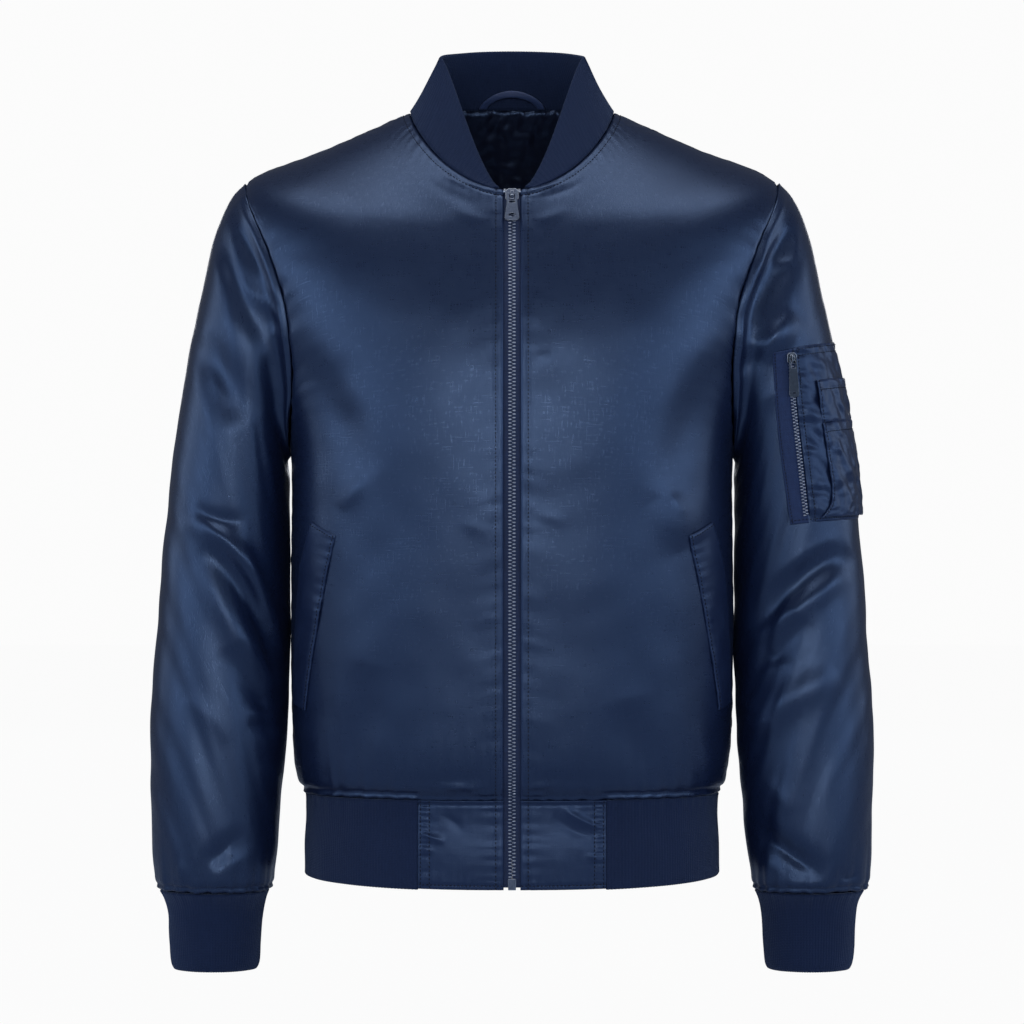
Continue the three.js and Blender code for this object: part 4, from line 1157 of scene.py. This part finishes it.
def front_panel(side):
    name = sided("front", side)
    rows = cloth_rows(HEM_SEAM + 0.008, NECK - 0.01, 190, 12, (22, 14))
    share = np.concatenate([np.linspace(0, 0.08, 15), np.linspace(0.08, 1, 84)[1:]])
    start = angle_at(ZIP["opening"], rows)[:, None]
    end = panel_edge(rows, True)[:, None]
    sheet = Sheet(torso(side * mix(start, end, share[None, :]), rows[:, None]), flip=side < 0)
    seed = 10 if side > 0 else 20
    from_zip, from_side = sheet.u, sheet.width - sheet.u
    from_hem, from_neck = sheet.v, sheet.length - sheet.v
    beside = np.abs(from_zip - 6.5)
    relief = panel_relief(sheet, seed, True)
    relief += 0.2 * fade(beside, 11) * uneven(sheet.z + 0.25 * from_zip, 17, seed + 2)
    relief += 0.12 * fade(beside, 5) * uneven(sheet.z, 7, seed + 3)
    relief -= 0.75 * dip(from_zip, ZIP_STITCH, 1.5)
    relief -= 0.9 * dip(from_zip, 0, 1.6)
    relief += 0.5 * fade(from_side, 16) * uneven(sheet.v, 19, seed + 4)
    relief += 0.25 * fade(from_side, 6) * uneven(sheet.v, 7, seed + 8)
    relief -= (0.7 - 0.5 * dip(rows[:, None], SHOULDER_TIP, 0.9)) * dip(from_side, 0, 2.2)
    gather = uneven(sheet.x + 0.1 * sheet.v, 13, seed + 5)
    relief += (0.7 * fade(from_hem, 20) + 0.35 * fade(from_hem, 45)) * gather
    relief += hem_roll(sheet, from_hem, np.abs(sheet.x) > HEM_END, seed + 7)
    relief += 0.45 * fade(np.abs(from_neck - 6), 8) * uneven(sheet.u, 9, seed + 6)
    relief -= 0.6 * dip(from_neck, 6, 1.4) + 0.8 * dip(from_neck, 0, 2)
    sheet.lift(relief)
    SEAM_STITCH.line(sheet, line_across, from_zip, ZIP_STITCH)
    SEAM_STITCH.line(sheet, line_along, -from_neck, -6.0)
    piece = shell(name, sheet, CLOTH, SATIN, LINING_SATIN, ("start",))
    worn(piece, name, "satin", flat=(0.30, 0.60), held="hung", area=0.135, rests_on=["collar"])


def back_panel():
    rows = cloth_rows(HEM_SEAM + 0.008, NECK - 0.01, 156, 168, (20, 12))
    share = np.linspace(0, 1, 150)
    start = panel_edge(rows, False)[:, None]
    sheet = Sheet(torso(mix(start, 360 - start, share[None, :]), rows[:, None]))
    from_side = np.minimum(sheet.u, sheet.width - sheet.u)
    from_hem, from_neck = sheet.v, sheet.length - sheet.v
    relief = panel_relief(sheet, 30, False)
    relief += 0.5 * fade(from_side, 16) * uneven(sheet.v + np.where(sheet.x > 0, 700, 0), 19, 34)
    relief -= (0.7 - 0.5 * dip(rows[:, None], SHOULDER_TIP, 0.9)) * dip(from_side, 0, 2.2)
    gather = uneven(sheet.u + 0.1 * sheet.v, 13, 35)
    relief += (0.8 * fade(from_hem, 20) + 0.4 * fade(from_hem, 45)) * gather
    relief += hem_roll(sheet, from_hem, True, 37)
    relief += 0.45 * fade(np.abs(from_neck - 6), 8) * uneven(sheet.u, 9, 36)
    relief -= 0.6 * dip(from_neck, 6, 1.4) + 0.8 * dip(from_neck, 0, 2)
    sheet.lift(relief)
    SEAM_STITCH.line(sheet, line_along, -from_neck, -6.0)
    piece = shell("back", sheet, CLOTH, SATIN, LINING_SATIN)
    worn(piece, "back", "satin", flat=(0.56, 0.66), held="hung", area=0.293, rests_on=["collar"])


def sleeve_panel(side):
    name = sided("sleeve", side)
    rows = even_rows(sleeve_form, 90, 0, SLEEVE_END, 176, (12, 20))
    around = np.arange(132) * 360 / 132
    skin = sleeve_skin(side)
    grid = skin(around[None, :], rows[:, None])
    inward = unit(np.array(ARMHOLE_MIDDLE, float) - grid)
    grid = grid + inward * (2.5 * GAP * np.maximum(0, 1 - rows))[:, None, None]
    sheet = Sheet(grid, closed=True, flip=True)
    seed = 40 if side > 0 else 60
    front = np.cos(np.radians(around))[None, :] > 0
    turn = np.abs(np.cos(np.radians(around)))[None, :]
    turned = np.radians(around)[None, :] * np.ones_like(sheet.v)
    wrapped = 55 * np.sin(turned) + 30 * np.cos(turned)
    relief = 0.5 * billow(wrapped, sheet.v, 95, seed, 0.9, 0.7)
    relief += 0.26 * billow(wrapped, sheet.v, 38, seed + 1, 0.8, 0.6)
    relief += creases(SLEEVE_CREASES[side], sheet, front, turn)
    to_cuff = sheet.length - sheet.v
    spot = np.degrees(turned) * 0.95
    tucks = uneven(spot, 17, seed + 2) * 0.9 + uneven(spot, 8, seed + 3) * 0.35
    relief += (1.1 * fade(to_cuff, 14) + 0.5 * fade(to_cuff, 40)) * tucks
    relief += 0.6 * dip(to_cuff, 9, 5) + 0.8 * dip(to_cuff, 2.4, 1.5) * (1 + 0.3 * uneven(spot, 4, seed + 5))
    relief -= 0.6 * dip(to_cuff, 5.4, 1.4) + 0.9 * dip(to_cuff, 0, 0.9)
    relief += 0.6 * fade(sheet.v, 15) * uneven(spot, 18, seed + 4)
    crown = dip(np.degrees(turned), 90, 38)
    relief += 1.6 * (1 - crown) * dip(sheet.v, 6, 3.2) - 1.9 * (1 - crown) * dip(sheet.v, 17, 7)
    relief -= (0.7 - 1.2 * crown) * dip(sheet.v, 0, 2.2) - 1.6 * crown * fade(sheet.v, 22)
    sheet.lift(relief)
    if side < 0:
        sheet.points = sheet.points * np.array([-1, 1, 1])
        sheet.flip = False
    piece = shell(name, sheet, CLOTH, SATIN, LINING_SATIN)
    worn(piece, name, "satin", flat=(0.42, 0.64), held="hung", area=0.189, rests_on=[sided("front", side)])


# ---------------------------------------------------------------- knitted bands


RIB_COLUMNS = 4  # of the mesh, to a rib


def rib_lift(columns):
    """Ribs across a band: rounded, with a narrow hollow between."""
    phase = np.arange(columns) % RIB_COLUMNS / RIB_COLUMNS
    return RIB_HEIGHT * (0.5 - 0.5 * np.cos(2 * np.pi * phase)) ** 0.8


def rib_count(length):
    return RIB_COLUMNS * round(length / RIB_PITCH)


def knit_band(name, middle, closed, flip, low=False, high=False, face=RIB):
    """A band of double rib knit round a middle surface, folded over at its low or high edge."""
    out = Sheet(middle, closed=closed, flip=flip).normals()
    half = RIB_KNIT / 2 - RIB_HEIGHT / 2
    ribs = rib_lift(middle.shape[1])

    def folded(row, inner_row, turns):
        """Pairs of rows, outer and inner, that close the band round a fold."""
        ahead = unit(middle[row] - middle[inner_row])
        for turn in turns:
            along = middle[row] + ahead * ((half + 0.6 * ribs) * math.sin(turn * math.pi / 2))[:, None]
            apart = out[row] * ((half + 0.6 * ribs) * math.cos(turn * math.pi / 2))[:, None]
            yield along + apart, along - apart

    apart = out * (half + ribs)[None, :, None]
    pairs = list(folded(0, 1, (0.9, 0.62, 0.3))) if low else []
    pairs += zip(middle + apart, middle - apart)
    if high:
        pairs += folded(-1, -2, (0.3, 0.62, 0.9))
    outer, inner = (np.array(layer) for layer in zip(*pairs))
    return shell(name, Sheet(outer, closed=closed, flip=flip), RIB_KNIT, face, inside=inner)


def cuff(side):
    name = sided("cuff", side)
    columns = rib_count(2 * math.pi * 44)
    stretches = (np.linspace(0, 1, 5)[:-1], np.linspace(1, 2, 5)[:-1], np.linspace(2, 3.9, 12))
    row = np.concatenate(stretches)[:, None]
    turn = (np.arange(columns) * 2 * math.pi / columns)[None, :]
    half, depth = read(CUFF, "half", row) - RIB_KNIT / 2, read(CUFF, "depth", row) - RIB_KNIT / 2
    z = read(CUFF, "z", row)
    sag = 0.5 * billow(44 * np.sin(turn) + 0 * row, z + 30 * np.cos(turn), 34, 80 + side)
    pull = 0.5 * fade(-z - 669, 8) * uneven(44 * turn + 0 * row, 11, 82 + side)
    out = sag * 0.5 + pull
    middle = np.stack(
        [
            side * (read(CUFF, "centre", row) + (half + out) * np.sin(turn)),
            read(CUFF, "middle", row) - (depth + out) * np.cos(turn),
            z + 0 * turn,
        ],
        -1,
    )
    piece = knit_band(name, middle, True, side < 0, high=True)
    cut = dict(flat=(0.24, 0.072), held="stretched", area=0.0165)
    worn(piece, name, "rib_knit", rests_on=[sided("sleeve", side)], **cut)


def hem_band():
    columns = rib_count(800) + 1
    row = np.concatenate([np.linspace(0.03, 1, 6)[:-1], np.linspace(1, HEM_SEAM - 0.02, 12)])[:, None]
    start = angle_at(HEM_END + GAP, row)
    share = np.linspace(0, 1, columns)[None, :]
    angle = mix(start, 360 - start, share)
    lift = -RIB_KNIT / 2 + 0.5 * billow(angle * 2.2, row * 24, 40, 90) * 0.6
    seam = read(TORSO, "side", row) + 586
    gather = 0.7 * np.exp(seam / 8) * uneven(angle * 2.2, 12, 92)
    middle = torso(angle, row + 0 * angle, lift + gather)
    piece = knit_band("hem_band", middle, False, False, low=True)
    cut = dict(flat=(0.80, 0.075), held="stretched", area=0.058)
    worn(piece, "hem_band", "rib_knit", rests_on=["front_left", "front_right", "back"], **cut)


def collar():
    columns = rib_count(430) + 1
    share = np.linspace(0, 1, columns)[None, :]
    height = np.linspace(0, 0.985, 16)[:, None]
    angle = mix(COLLAR["start"], 360 - COLLAR["start"], share) + 0 * height
    skin = collar_form(angle, height + 0 * share)
    out = normal_of(collar_form, angle, height + 0 * share, 1)
    wave = 0.35 * billow(angle * 1.2, height * 50, 46, 95)
    gather = 0.35 * np.exp(-height * 8) * uneven(angle * 1.2, 11, 96)
    middle = skin + out * (-RIB_KNIT / 2 + wave + gather)[..., None]
    piece = knit_band("collar", middle, False, False, high=True, face=COLLAR_RIB)
    cut = dict(flat=(0.44, 0.062), held="stretched", area=0.0225)
    worn(piece, "collar", "rib_knit", rests_on=["front_left", "front_right", "back"], **cut)


def hem_end(side):
    name = sided("hem_end", side)
    row = np.concatenate([np.linspace(0, 1, 20)[:-1], np.linspace(1, HEM_SEAM - 0.008, 56)])[:, None]
    share = np.linspace(0, 1, 60)[None, :]
    angle = side * mix(angle_at(ZIP["opening"], row), angle_at(HEM_END, row), share)
    sheet = Sheet(torso(angle, row + 0 * share), flip=side < 0)
    seed = 100 if side > 0 else 110
    from_zip, to_rib = sheet.u, sheet.width - sheet.u
    from_edge, to_seam = sheet.v, sheet.length - sheet.v
    relief = 0.16 * billow(sheet.x, sheet.z, 38, seed) + 0.04 * billow(sheet.x, sheet.z, 15, seed + 1)
    relief += 0.3 * fade(np.abs(from_zip - ZIP_STITCH), 9) * uneven(sheet.z, 9, seed + 2)
    relief -= 0.7 * dip(from_zip, ZIP_STITCH, 1.5) + 0.9 * dip(from_zip, 0, 1.6)
    relief += 0.4 * dip(to_rib, 6, 3.2) * uneven(sheet.z, 4.4, seed + 3)
    relief += 0.25 * fade(np.abs(to_rib - 8), 7) * uneven(sheet.z, 11, seed + 6)
    relief -= 0.4 * dip(to_rib, 2.2, 1.0) + 0.4 * dip(to_rib, 10, 1.1)
    relief += 0.35 * fade(np.abs(from_edge - 3.5), 8) * uneven(sheet.x, 8, seed + 4)
    relief -= 0.5 * dip(from_edge, 3.6, 1.2) + 0.9 * dip(from_edge, 0, 1.4)
    relief += 0.4 * fade(to_seam, 10) * uneven(sheet.x, 11, seed + 5)
    relief += 0.45 * dip(to_seam, 1.2, 1.0) - 0.5 * dip(to_seam, 4, 1.6)
    relief += creases(HEM_CREASES, sheet)
    sheet.lift(relief)
    SEAM_STITCH.line(sheet, line_across, from_zip, ZIP_STITCH)
    for value in (2.2, 10):
        SEAM_STITCH.line(sheet, line_across, -to_rib, -value)
    SEAM_STITCH.line(sheet, line_along, from_edge, 3.6)
    piece = shell(name, sheet, CLOTH, POCKET_SATIN, LINING_SATIN, ("start", "low"))
    cut = dict(flat=(0.073, 0.075), held="folded", area=0.0052)
    worn(piece, name, "satin", rests_on=[sided("front", side)], **cut)


# ---------------------------------------------------------------- hand pockets


def welt(side):
    name = sided("welt", side)
    row = np.linspace(0, 3, 84)[:, None]
    share = np.linspace(0, 1, 22)[None, :]
    angle = mix(read(WELT, "sewn", row), read(WELT, "free", row), share)
    z = read(WELT, "z", row) + share * read(WELT, "rise", row)
    level = torso_row(angle, z)
    sheet = Sheet(torso(side * angle, level, LIE + WELT_THICK - 0.4), flip=side < 0)
    seed = 120 if side > 0 else 130
    from_sewn, from_free = sheet.u, sheet.width - sheet.u
    relief = 0.25 * billow(sheet.u, sheet.v, 30, seed)
    relief += 0.45 * fade(from_sewn, 7) * uneven(sheet.v, 9, seed + 1)
    relief -= 0.6 * dip(from_sewn, 2.4, 1.2) + 0.9 * dip(from_sewn, 0, 1.4)
    relief -= 0.8 * dip(from_free, 0, 1.4)
    relief -= 0.8 * dip(sheet.length - sheet.v, 0, 1.6)
    sheet.lift(relief)
    SEAM_STITCH.line(sheet, line_across, from_sewn, 2.4)
    SEAM_STITCH.line(sheet, line_along, -(sheet.length - sheet.v), -2.6)
    piece = shell(name, sheet, WELT_THICK, POCKET_SATIN, LINING_SATIN, ("start", "end", "high"))
    cut = dict(flat=(0.055, 0.165), held="folded", area=0.0059)
    worn(piece, name, "satin", rests_on=[sided("front", side)], **cut)


# ---------------------------------------------------------------- front zip


def zip_tape(side):
    name = sided("zip_tape", side)
    rows = cloth_rows(ZIP["bottom"], NECK - 0.05, 200, 2)[:, None]
    share = np.linspace(0, 1, 9)[None, :]
    angle = side * mix(angle_at(0.12, rows), angle_at(ZIP["tape"], rows), share)
    sheet = Sheet(torso(angle, rows + 0 * share, TAPE_LIFT), flip=side < 0)
    sheet.lift(0.35 * dip(sheet.u, 1.2, 1.0))
    piece = shell(name, sheet, TAPE_CLOTH, ZIP_TAPE)
    cut = dict(flat=(0.0135, 0.60), held="hung", area=0.0078)
    worn(piece, name, "zip_tape", rests_on=[sided("front", side)], **cut)


def tooth_row(points, up, out, inward, size, base):
    """Teeth along a line: each a root on the tape, a neck and a rounded head."""
    root, tip, half, depth = (size[part] for part in ("root", "tip", "half", "depth"))
    sections = [
        (root + 0.3, 0.9, 0.35),
        (root * 0.86, 1.05, 0.95),
        (root * 0.5, 1.15, 1.0),
        (tip, 0.8, 0.6),
        (-tip, 0.7, 0.35),
    ]
    ring = [(-1, -0.7), (-0.7, -1), (0.7, -1), (1, -0.7), (0.9, 0.3), (0.4, 1), (-0.4, 1), (-0.9, 0.3)]
    vertices = [
        points - inward * reach + up * (y * half * tall) + out * (z * depth * thick)
        for reach, tall, thick in sections
        for y, z in ring
    ]
    return np.concatenate(vertices), bar_faces(len(points), len(sections), len(ring), base)


def chain(name, line, out, across, size, end_stops=()):
    """The two rows of teeth of a closed zip, meshed, with its end stops."""
    parts, faces, base = [], [], 0
    for side in (1, -1):
        spots, ahead = resample(line, size["pitch"])
        index = np.linspace(0, len(out) - 1, len(spots)).astype(int)
        inward = -unit(across[index]) * side
        spots = spots + ahead * (size["pitch"] / 4 * side)
        vertices, quads = tooth_row(spots, ahead, unit(out[index]), inward, size, base)
        parts.append(vertices)
        faces += quads
        base += len(vertices)
    wide, tall, thick = END_STOP
    for centre, up, normal in end_stops:
        beside = unit(np.cross(up, normal))
        for level, share in ((-1, 1), (1, 0.8)):
            for a, b in ((-share, -share), (share, -share), (share, share), (-share, share)):
                parts.append([centre + beside * a * wide + up * b * tall + normal * level * thick])
        for quad in ((0, 3, 2, 1), (4, 5, 6, 7), (0, 1, 5, 4), (1, 2, 6, 5), (2, 3, 7, 6), (3, 0, 4, 7)):
            faces.append([corner + base for corner in quad])
        base += 8
    piece = mesh_object(name, np.concatenate(parts), faces)
    piece.data.materials.append(TEETH_METAL)
    return piece


def zip_chain():
    rows = cloth_rows(ZIP["bottom"] + 0.3, ZIP["top"] - 0.1, 260, 2)
    zero = np.zeros_like(rows)
    line = torso(zero, rows, CHAIN_LIFT)
    out = unit(torso(zero, rows, CHAIN_LIFT + 1) - line)
    across = np.tile([1.0, 0, 0], (len(rows), 1))
    stops = []
    top = NECK - 0.12
    for side in (1, -1):
        spot = torso(side * angle_at(6.2, top), top, CHAIN_LIFT + 1.6)
        up = unit(torso(0.0, top) - torso(0.0, top - 0.2))
        normal = unit(torso(0.0, top, 1.0) - torso(0.0, top, 0.0))
        stops.append((spot, up, normal))
    piece = chain("zip_teeth", line, out, across, TEETH, stops)
    worn(piece, "zip_chain", "zip_metal")


# ---------------------------------------------------------------- sleeve pocket


def pocket_angle(column, beside):
    rows = np.linspace(0, 3, 25)
    angle = around_at(read(POCKET, column, rows) + beside, read(POCKET, "z", rows))
    return lambda row: np.interp(row, rows, angle)


def pen_angle(rows_table):
    rows = np.linspace(0, len(rows_table["z"]) - 1, 13)
    angle = around_at(read(rows_table, "near", rows), read(rows_table, "z", rows))
    return lambda row: np.interp(row, rows, angle)


def sleeve_patch(rows_table, near, far, counts, lift, rise=(0.0, 0.0), puff=0.0):
    """A sheet that lies on the left sleeve, between two angles for each row of its table."""
    top = len(rows_table["z"]) - 1
    row = np.linspace(0, top, counts[0])[:, None]
    share = np.linspace(0, 1, counts[1])[None, :]
    around = mix(near(row), far(row), share)
    upper = row / top
    swell = puff * np.sin(np.pi * share) ** 0.6 * np.sin(np.pi * np.clip(1 - upper, 0, 1)) ** 0.6
    z = read(rows_table, "z", row) + mix(rise[0], rise[1], share ** 0.6) * mix(0.45, 1, upper)
    return Sheet(on_sleeve(around, z, lift + swell))


POCKET_STITCH = Sewing(1.8, 2.8, 0.42)


def sleeve_pocket():
    edge, beyond = pocket_angle("edge", 0), pocket_angle("teeth", POCKET_ZIP["half"])
    band = sleeve_patch(POCKET, edge, beyond, (90, 14), LIE + 1.0, (0, 4))
    band.lift(
        -0.5 * dip(band.u, 0, 1.2)
        - 0.4 * dip(band.u, 2.4, 0.9)
        + 0.2 * billow(band.u, band.v, 24, 140)
        - 0.4 * dip(band.length - band.v, 3, 1)
    )
    POCKET_STITCH.line(band, line_across, band.u, 2.2)
    POCKET_STITCH.line(band, line_along, band.v, 3.0)
    piece = shell("pocket_band", band, TAPE_CLOTH, POCKET_BAND, None, ("start", "low", "high"))
    cut = dict(flat=(0.02, 0.15), held="laid", area=0.0026)
    worn(piece, "pocket_tape", "pocket_band", rests_on=["sleeve_left"], **cut)

    near = pocket_angle("teeth", POCKET_ZIP["half"] + 0.6)
    far = lambda row: POCKET_END + 0 * row
    patch = sleeve_patch(POCKET, near, far, (84, 74), LIE + POCKET_SHELL, (4, 15))
    from_zip, to_end = patch.u, patch.width - patch.u
    low, high = patch.v, patch.length - patch.v
    relief = 0.8 * billow(patch.u, patch.v, 26, 150, 0.9, 0.6)
    relief += 0.35 * billow(patch.u, patch.v, 12, 151, 0.9, 0.8)
    relief += 0.5 * fade(np.abs(from_zip - 6), 6) * uneven(patch.v, 9, 152) - 0.6 * dip(from_zip, 0, 1.2)
    relief -= 0.45 * dip(from_zip, 5.5, 1.1)
    relief += 0.5 * fade(high, 9) * uneven(patch.u, 7, 153) - 0.7 * dip(high, 0, 1.2)
    relief -= 0.5 * dip(high, 7.5, 1.2) + 0.4 * dip(low, 2.6, 1.0) + 0.7 * dip(low, 0, 1.2)
    relief -= 0.7 * dip(to_end, 0, 1.2)
    patch.lift(relief)
    POCKET_STITCH.line(patch, line_across, from_zip, 5.5)
    POCKET_STITCH.line(patch, line_along, -high, -2.2)
    POCKET_STITCH.line(patch, line_along, -high, -7.5)
    POCKET_STITCH.line(patch, line_along, low, 2.6)
    POCKET_STITCH.line(patch, line_across, -to_end, -2.4)
    piece = shell("pocket_patch", patch, POCKET_SHELL, POCKET_SATIN, None, ("low", "high", "end"))
    cut = dict(flat=(0.145, 0.155), held="laid", area=0.0195)
    worn(piece, "pocket_patch", "satin", rests_on=["sleeve_left"], **cut)

    for name, rows_table, puff, counts, tall, area, seed in (
        ("pen_pocket_upper", PEN_UPPER, 0.0, (28, 44), 0.038, 0.0032, 160),
        ("pen_pocket_lower", PEN_LOWER, PEN_PUFF, (60, 44), 0.088, 0.0075, 170),
    ):
        near, lift = pen_angle(rows_table), PEN_LIE + 2 * POCKET_CLOTH - 0.2
        sheet = sleeve_patch(rows_table, near, lambda row: PEN_END + 0 * row, counts, lift, (0, 5), puff)
        low, high = sheet.v, sheet.length - sheet.v
        relief = 0.6 * billow(sheet.u, sheet.v, 18, seed, 0.4, 0.8)
        relief += 0.25 * billow(sheet.u, sheet.v, 9, seed + 1)
        relief += 0.5 * fade(sheet.u, 6) * uneven(sheet.v, 7, seed + 2)
        relief -= 0.6 * dip(sheet.u, 0, 1.2) + 0.6 * dip(sheet.width - sheet.u, 0, 1.2)
        relief -= 0.4 * dip(high, 8.5, 1.1) + 0.7 * dip(high, 0, 1.1) + 0.6 * dip(low, 0, 1.2)
        if name == "pen_pocket_lower":
            across = np.sin(np.pi * np.clip(sheet.u / 46, 0, 1))
            relief += 1.0 * dip(sheet.v - 34 - 0.35 * sheet.u, 0, 5) * across
            relief -= 0.9 * dip(sheet.v - 24 - 0.2 * sheet.u, 0, 5) * across
        sheet.lift(relief)
        POCKET_STITCH.line(sheet, line_along, -high, -8.5)
        POCKET_STITCH.line(sheet, line_across, sheet.u, 2.0)
        piece = shell(name, sheet, POCKET_SHELL, POCKET_SATIN, None, ("start", "end", "high", "low"))
        worn(piece, name, "satin", flat=(0.09, tall), held="laid", area=area, rests_on=["pocket_patch"])

    teeth = pocket_angle("teeth", 0)
    row = np.linspace(POCKET_ZIP["start"], POCKET_ZIP["slider"] - 0.1, 90)
    lift = LIE + 1.0 + 0.3 + 0.9
    line = on_sleeve(teeth(row), read(POCKET, "z", row), lift)
    out = unit(on_sleeve(teeth(row), read(POCKET, "z", row), lift + 1) - line)
    across = unit(np.cross(np.gradient(line, axis=0), out))
    size = dict(pitch=2.7, root=2.1, tip=0.35, half=0.7, depth=0.85)
    piece = chain("pocket_teeth", line, out, across, size)
    worn(piece, "pocket_chain", "zip_metal")
    POCKET_STITCH.piece("pocket_stitching")


# ---------------------------------------------------------------- inside the neck


def neck_lining():
    rows = cloth_rows(LINING["low"], NECK + 0.03, 50, 180)[:, None]
    share = np.linspace(0, 1, 190)[None, :]
    reach = angle_at(LINING["reach"], rows)
    angle = 180 + mix(-reach, reach, share)
    sheet = Sheet(torso(angle, rows + 0 * share, -2.9))
    relief = 0.9 * billow(sheet.u, sheet.v, 22, 180) + 0.4 * billow(sheet.u, sheet.v, 11, 181)
    high = sheet.length - sheet.v
    relief += 0.9 * fade(high, 12) * uneven(sheet.u, 9, 182)
    relief += 0.7 * dip(high, 2.5, 2.2) * uneven(sheet.u, 3.6, 183)
    sheet.lift(np.clip(relief, -1.8, 1.2) - 0.9)
    piece = shell("back_lining", sheet, TAPE_CLOTH, LINING_SATIN)
    worn(piece, "back_lining", "lining", flat=(0.165, 0.075), held="hung", area=0.0095, rests_on=["collar"])


def hanger_loop():
    share = np.linspace(0, 1, 48)[None, :]
    across = np.linspace(0, 1, 6)[:, None]
    turn = np.pi * share
    half = LOOP["half"] + LOOP["width"] * (across - 0.5)
    rise = LOOP["rise"] + LOOP["width"] * (across - 0.5)
    angle = 180 + np.degrees(np.arcsin(half * np.cos(turn) / LOOP["round"]))
    height = 0.03 + rise * np.sin(turn) / LOOP["tall"]
    normal = normal_of(collar_form, angle, height, 1)
    stand = LOOP["bulge"] * np.sin(turn)
    points = collar_form(angle, height) + normal * (-RIB_KNIT - 0.8 - stand)[..., None]
    sheet = Sheet(points)
    sheet.lift(-0.25 * dip(np.minimum(sheet.v, sheet.length - sheet.v), 0, 0.9))
    piece = shell("hanger_loop", sheet, LOOP["thick"] - 0.1, STRAP, None, ("low", "high"))
    cut = dict(flat=(0.0102, 0.068), held="hung", area=0.00042)
    worn(piece, "hanger_loop", "loop_tape", rests_on=["collar"], **cut)


# ---------------------------------------------------------------- hardware kept from the CAD frame


def plated(node, width, face):
    """A CAD piece of metal, with softened edges and the plated finish; its bevels get the paler rim metal as a
    painted highlight.
    """
    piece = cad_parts[node]
    if "custom_normal" in piece.data.attributes:
        piece.data.attributes.remove(piece.data.attributes["custom_normal"])
    piece.data.materials.clear()
    piece.data.materials.append(face)
    # Painted highlight: the bevel faces take the paler rim metal.
    piece.data.materials.append(RIM_HIGHLIGHT_METAL)
    piece.modifiers.new("joined corners", "WELD").merge_threshold = 0.00001
    bevel = piece.modifiers.new("soft edges", "BEVEL")
    bevel.material = 1
    bevel.width = width * MM
    bevel.segments = 2
    bevel.limit_method = "ANGLE"
    bevel.angle_limit = math.radians(35)


for left_or_right in (1, -1):
    front_panel(left_or_right)
back_panel()
for build in (sleeve_panel, cuff):
    for left_or_right in (1, -1):
        build(left_or_right)
hem_band()
collar()
for build in (hem_end, welt, zip_tape):
    for left_or_right in (1, -1):
        build(left_or_right)
zip_chain()
sleeve_pocket()
neck_lining()
hanger_loop()
SEAM_STITCH.piece("seam_stitching")
plated("zip_slider", 0.3, METAL)
plated("zip_pull", 0.45, METAL)
plated("zip_box", 0.4, METAL)
plated("pocket_slider", 0.25, DARK_METAL)
plated("pocket_pull", 0.4, DARK_METAL)
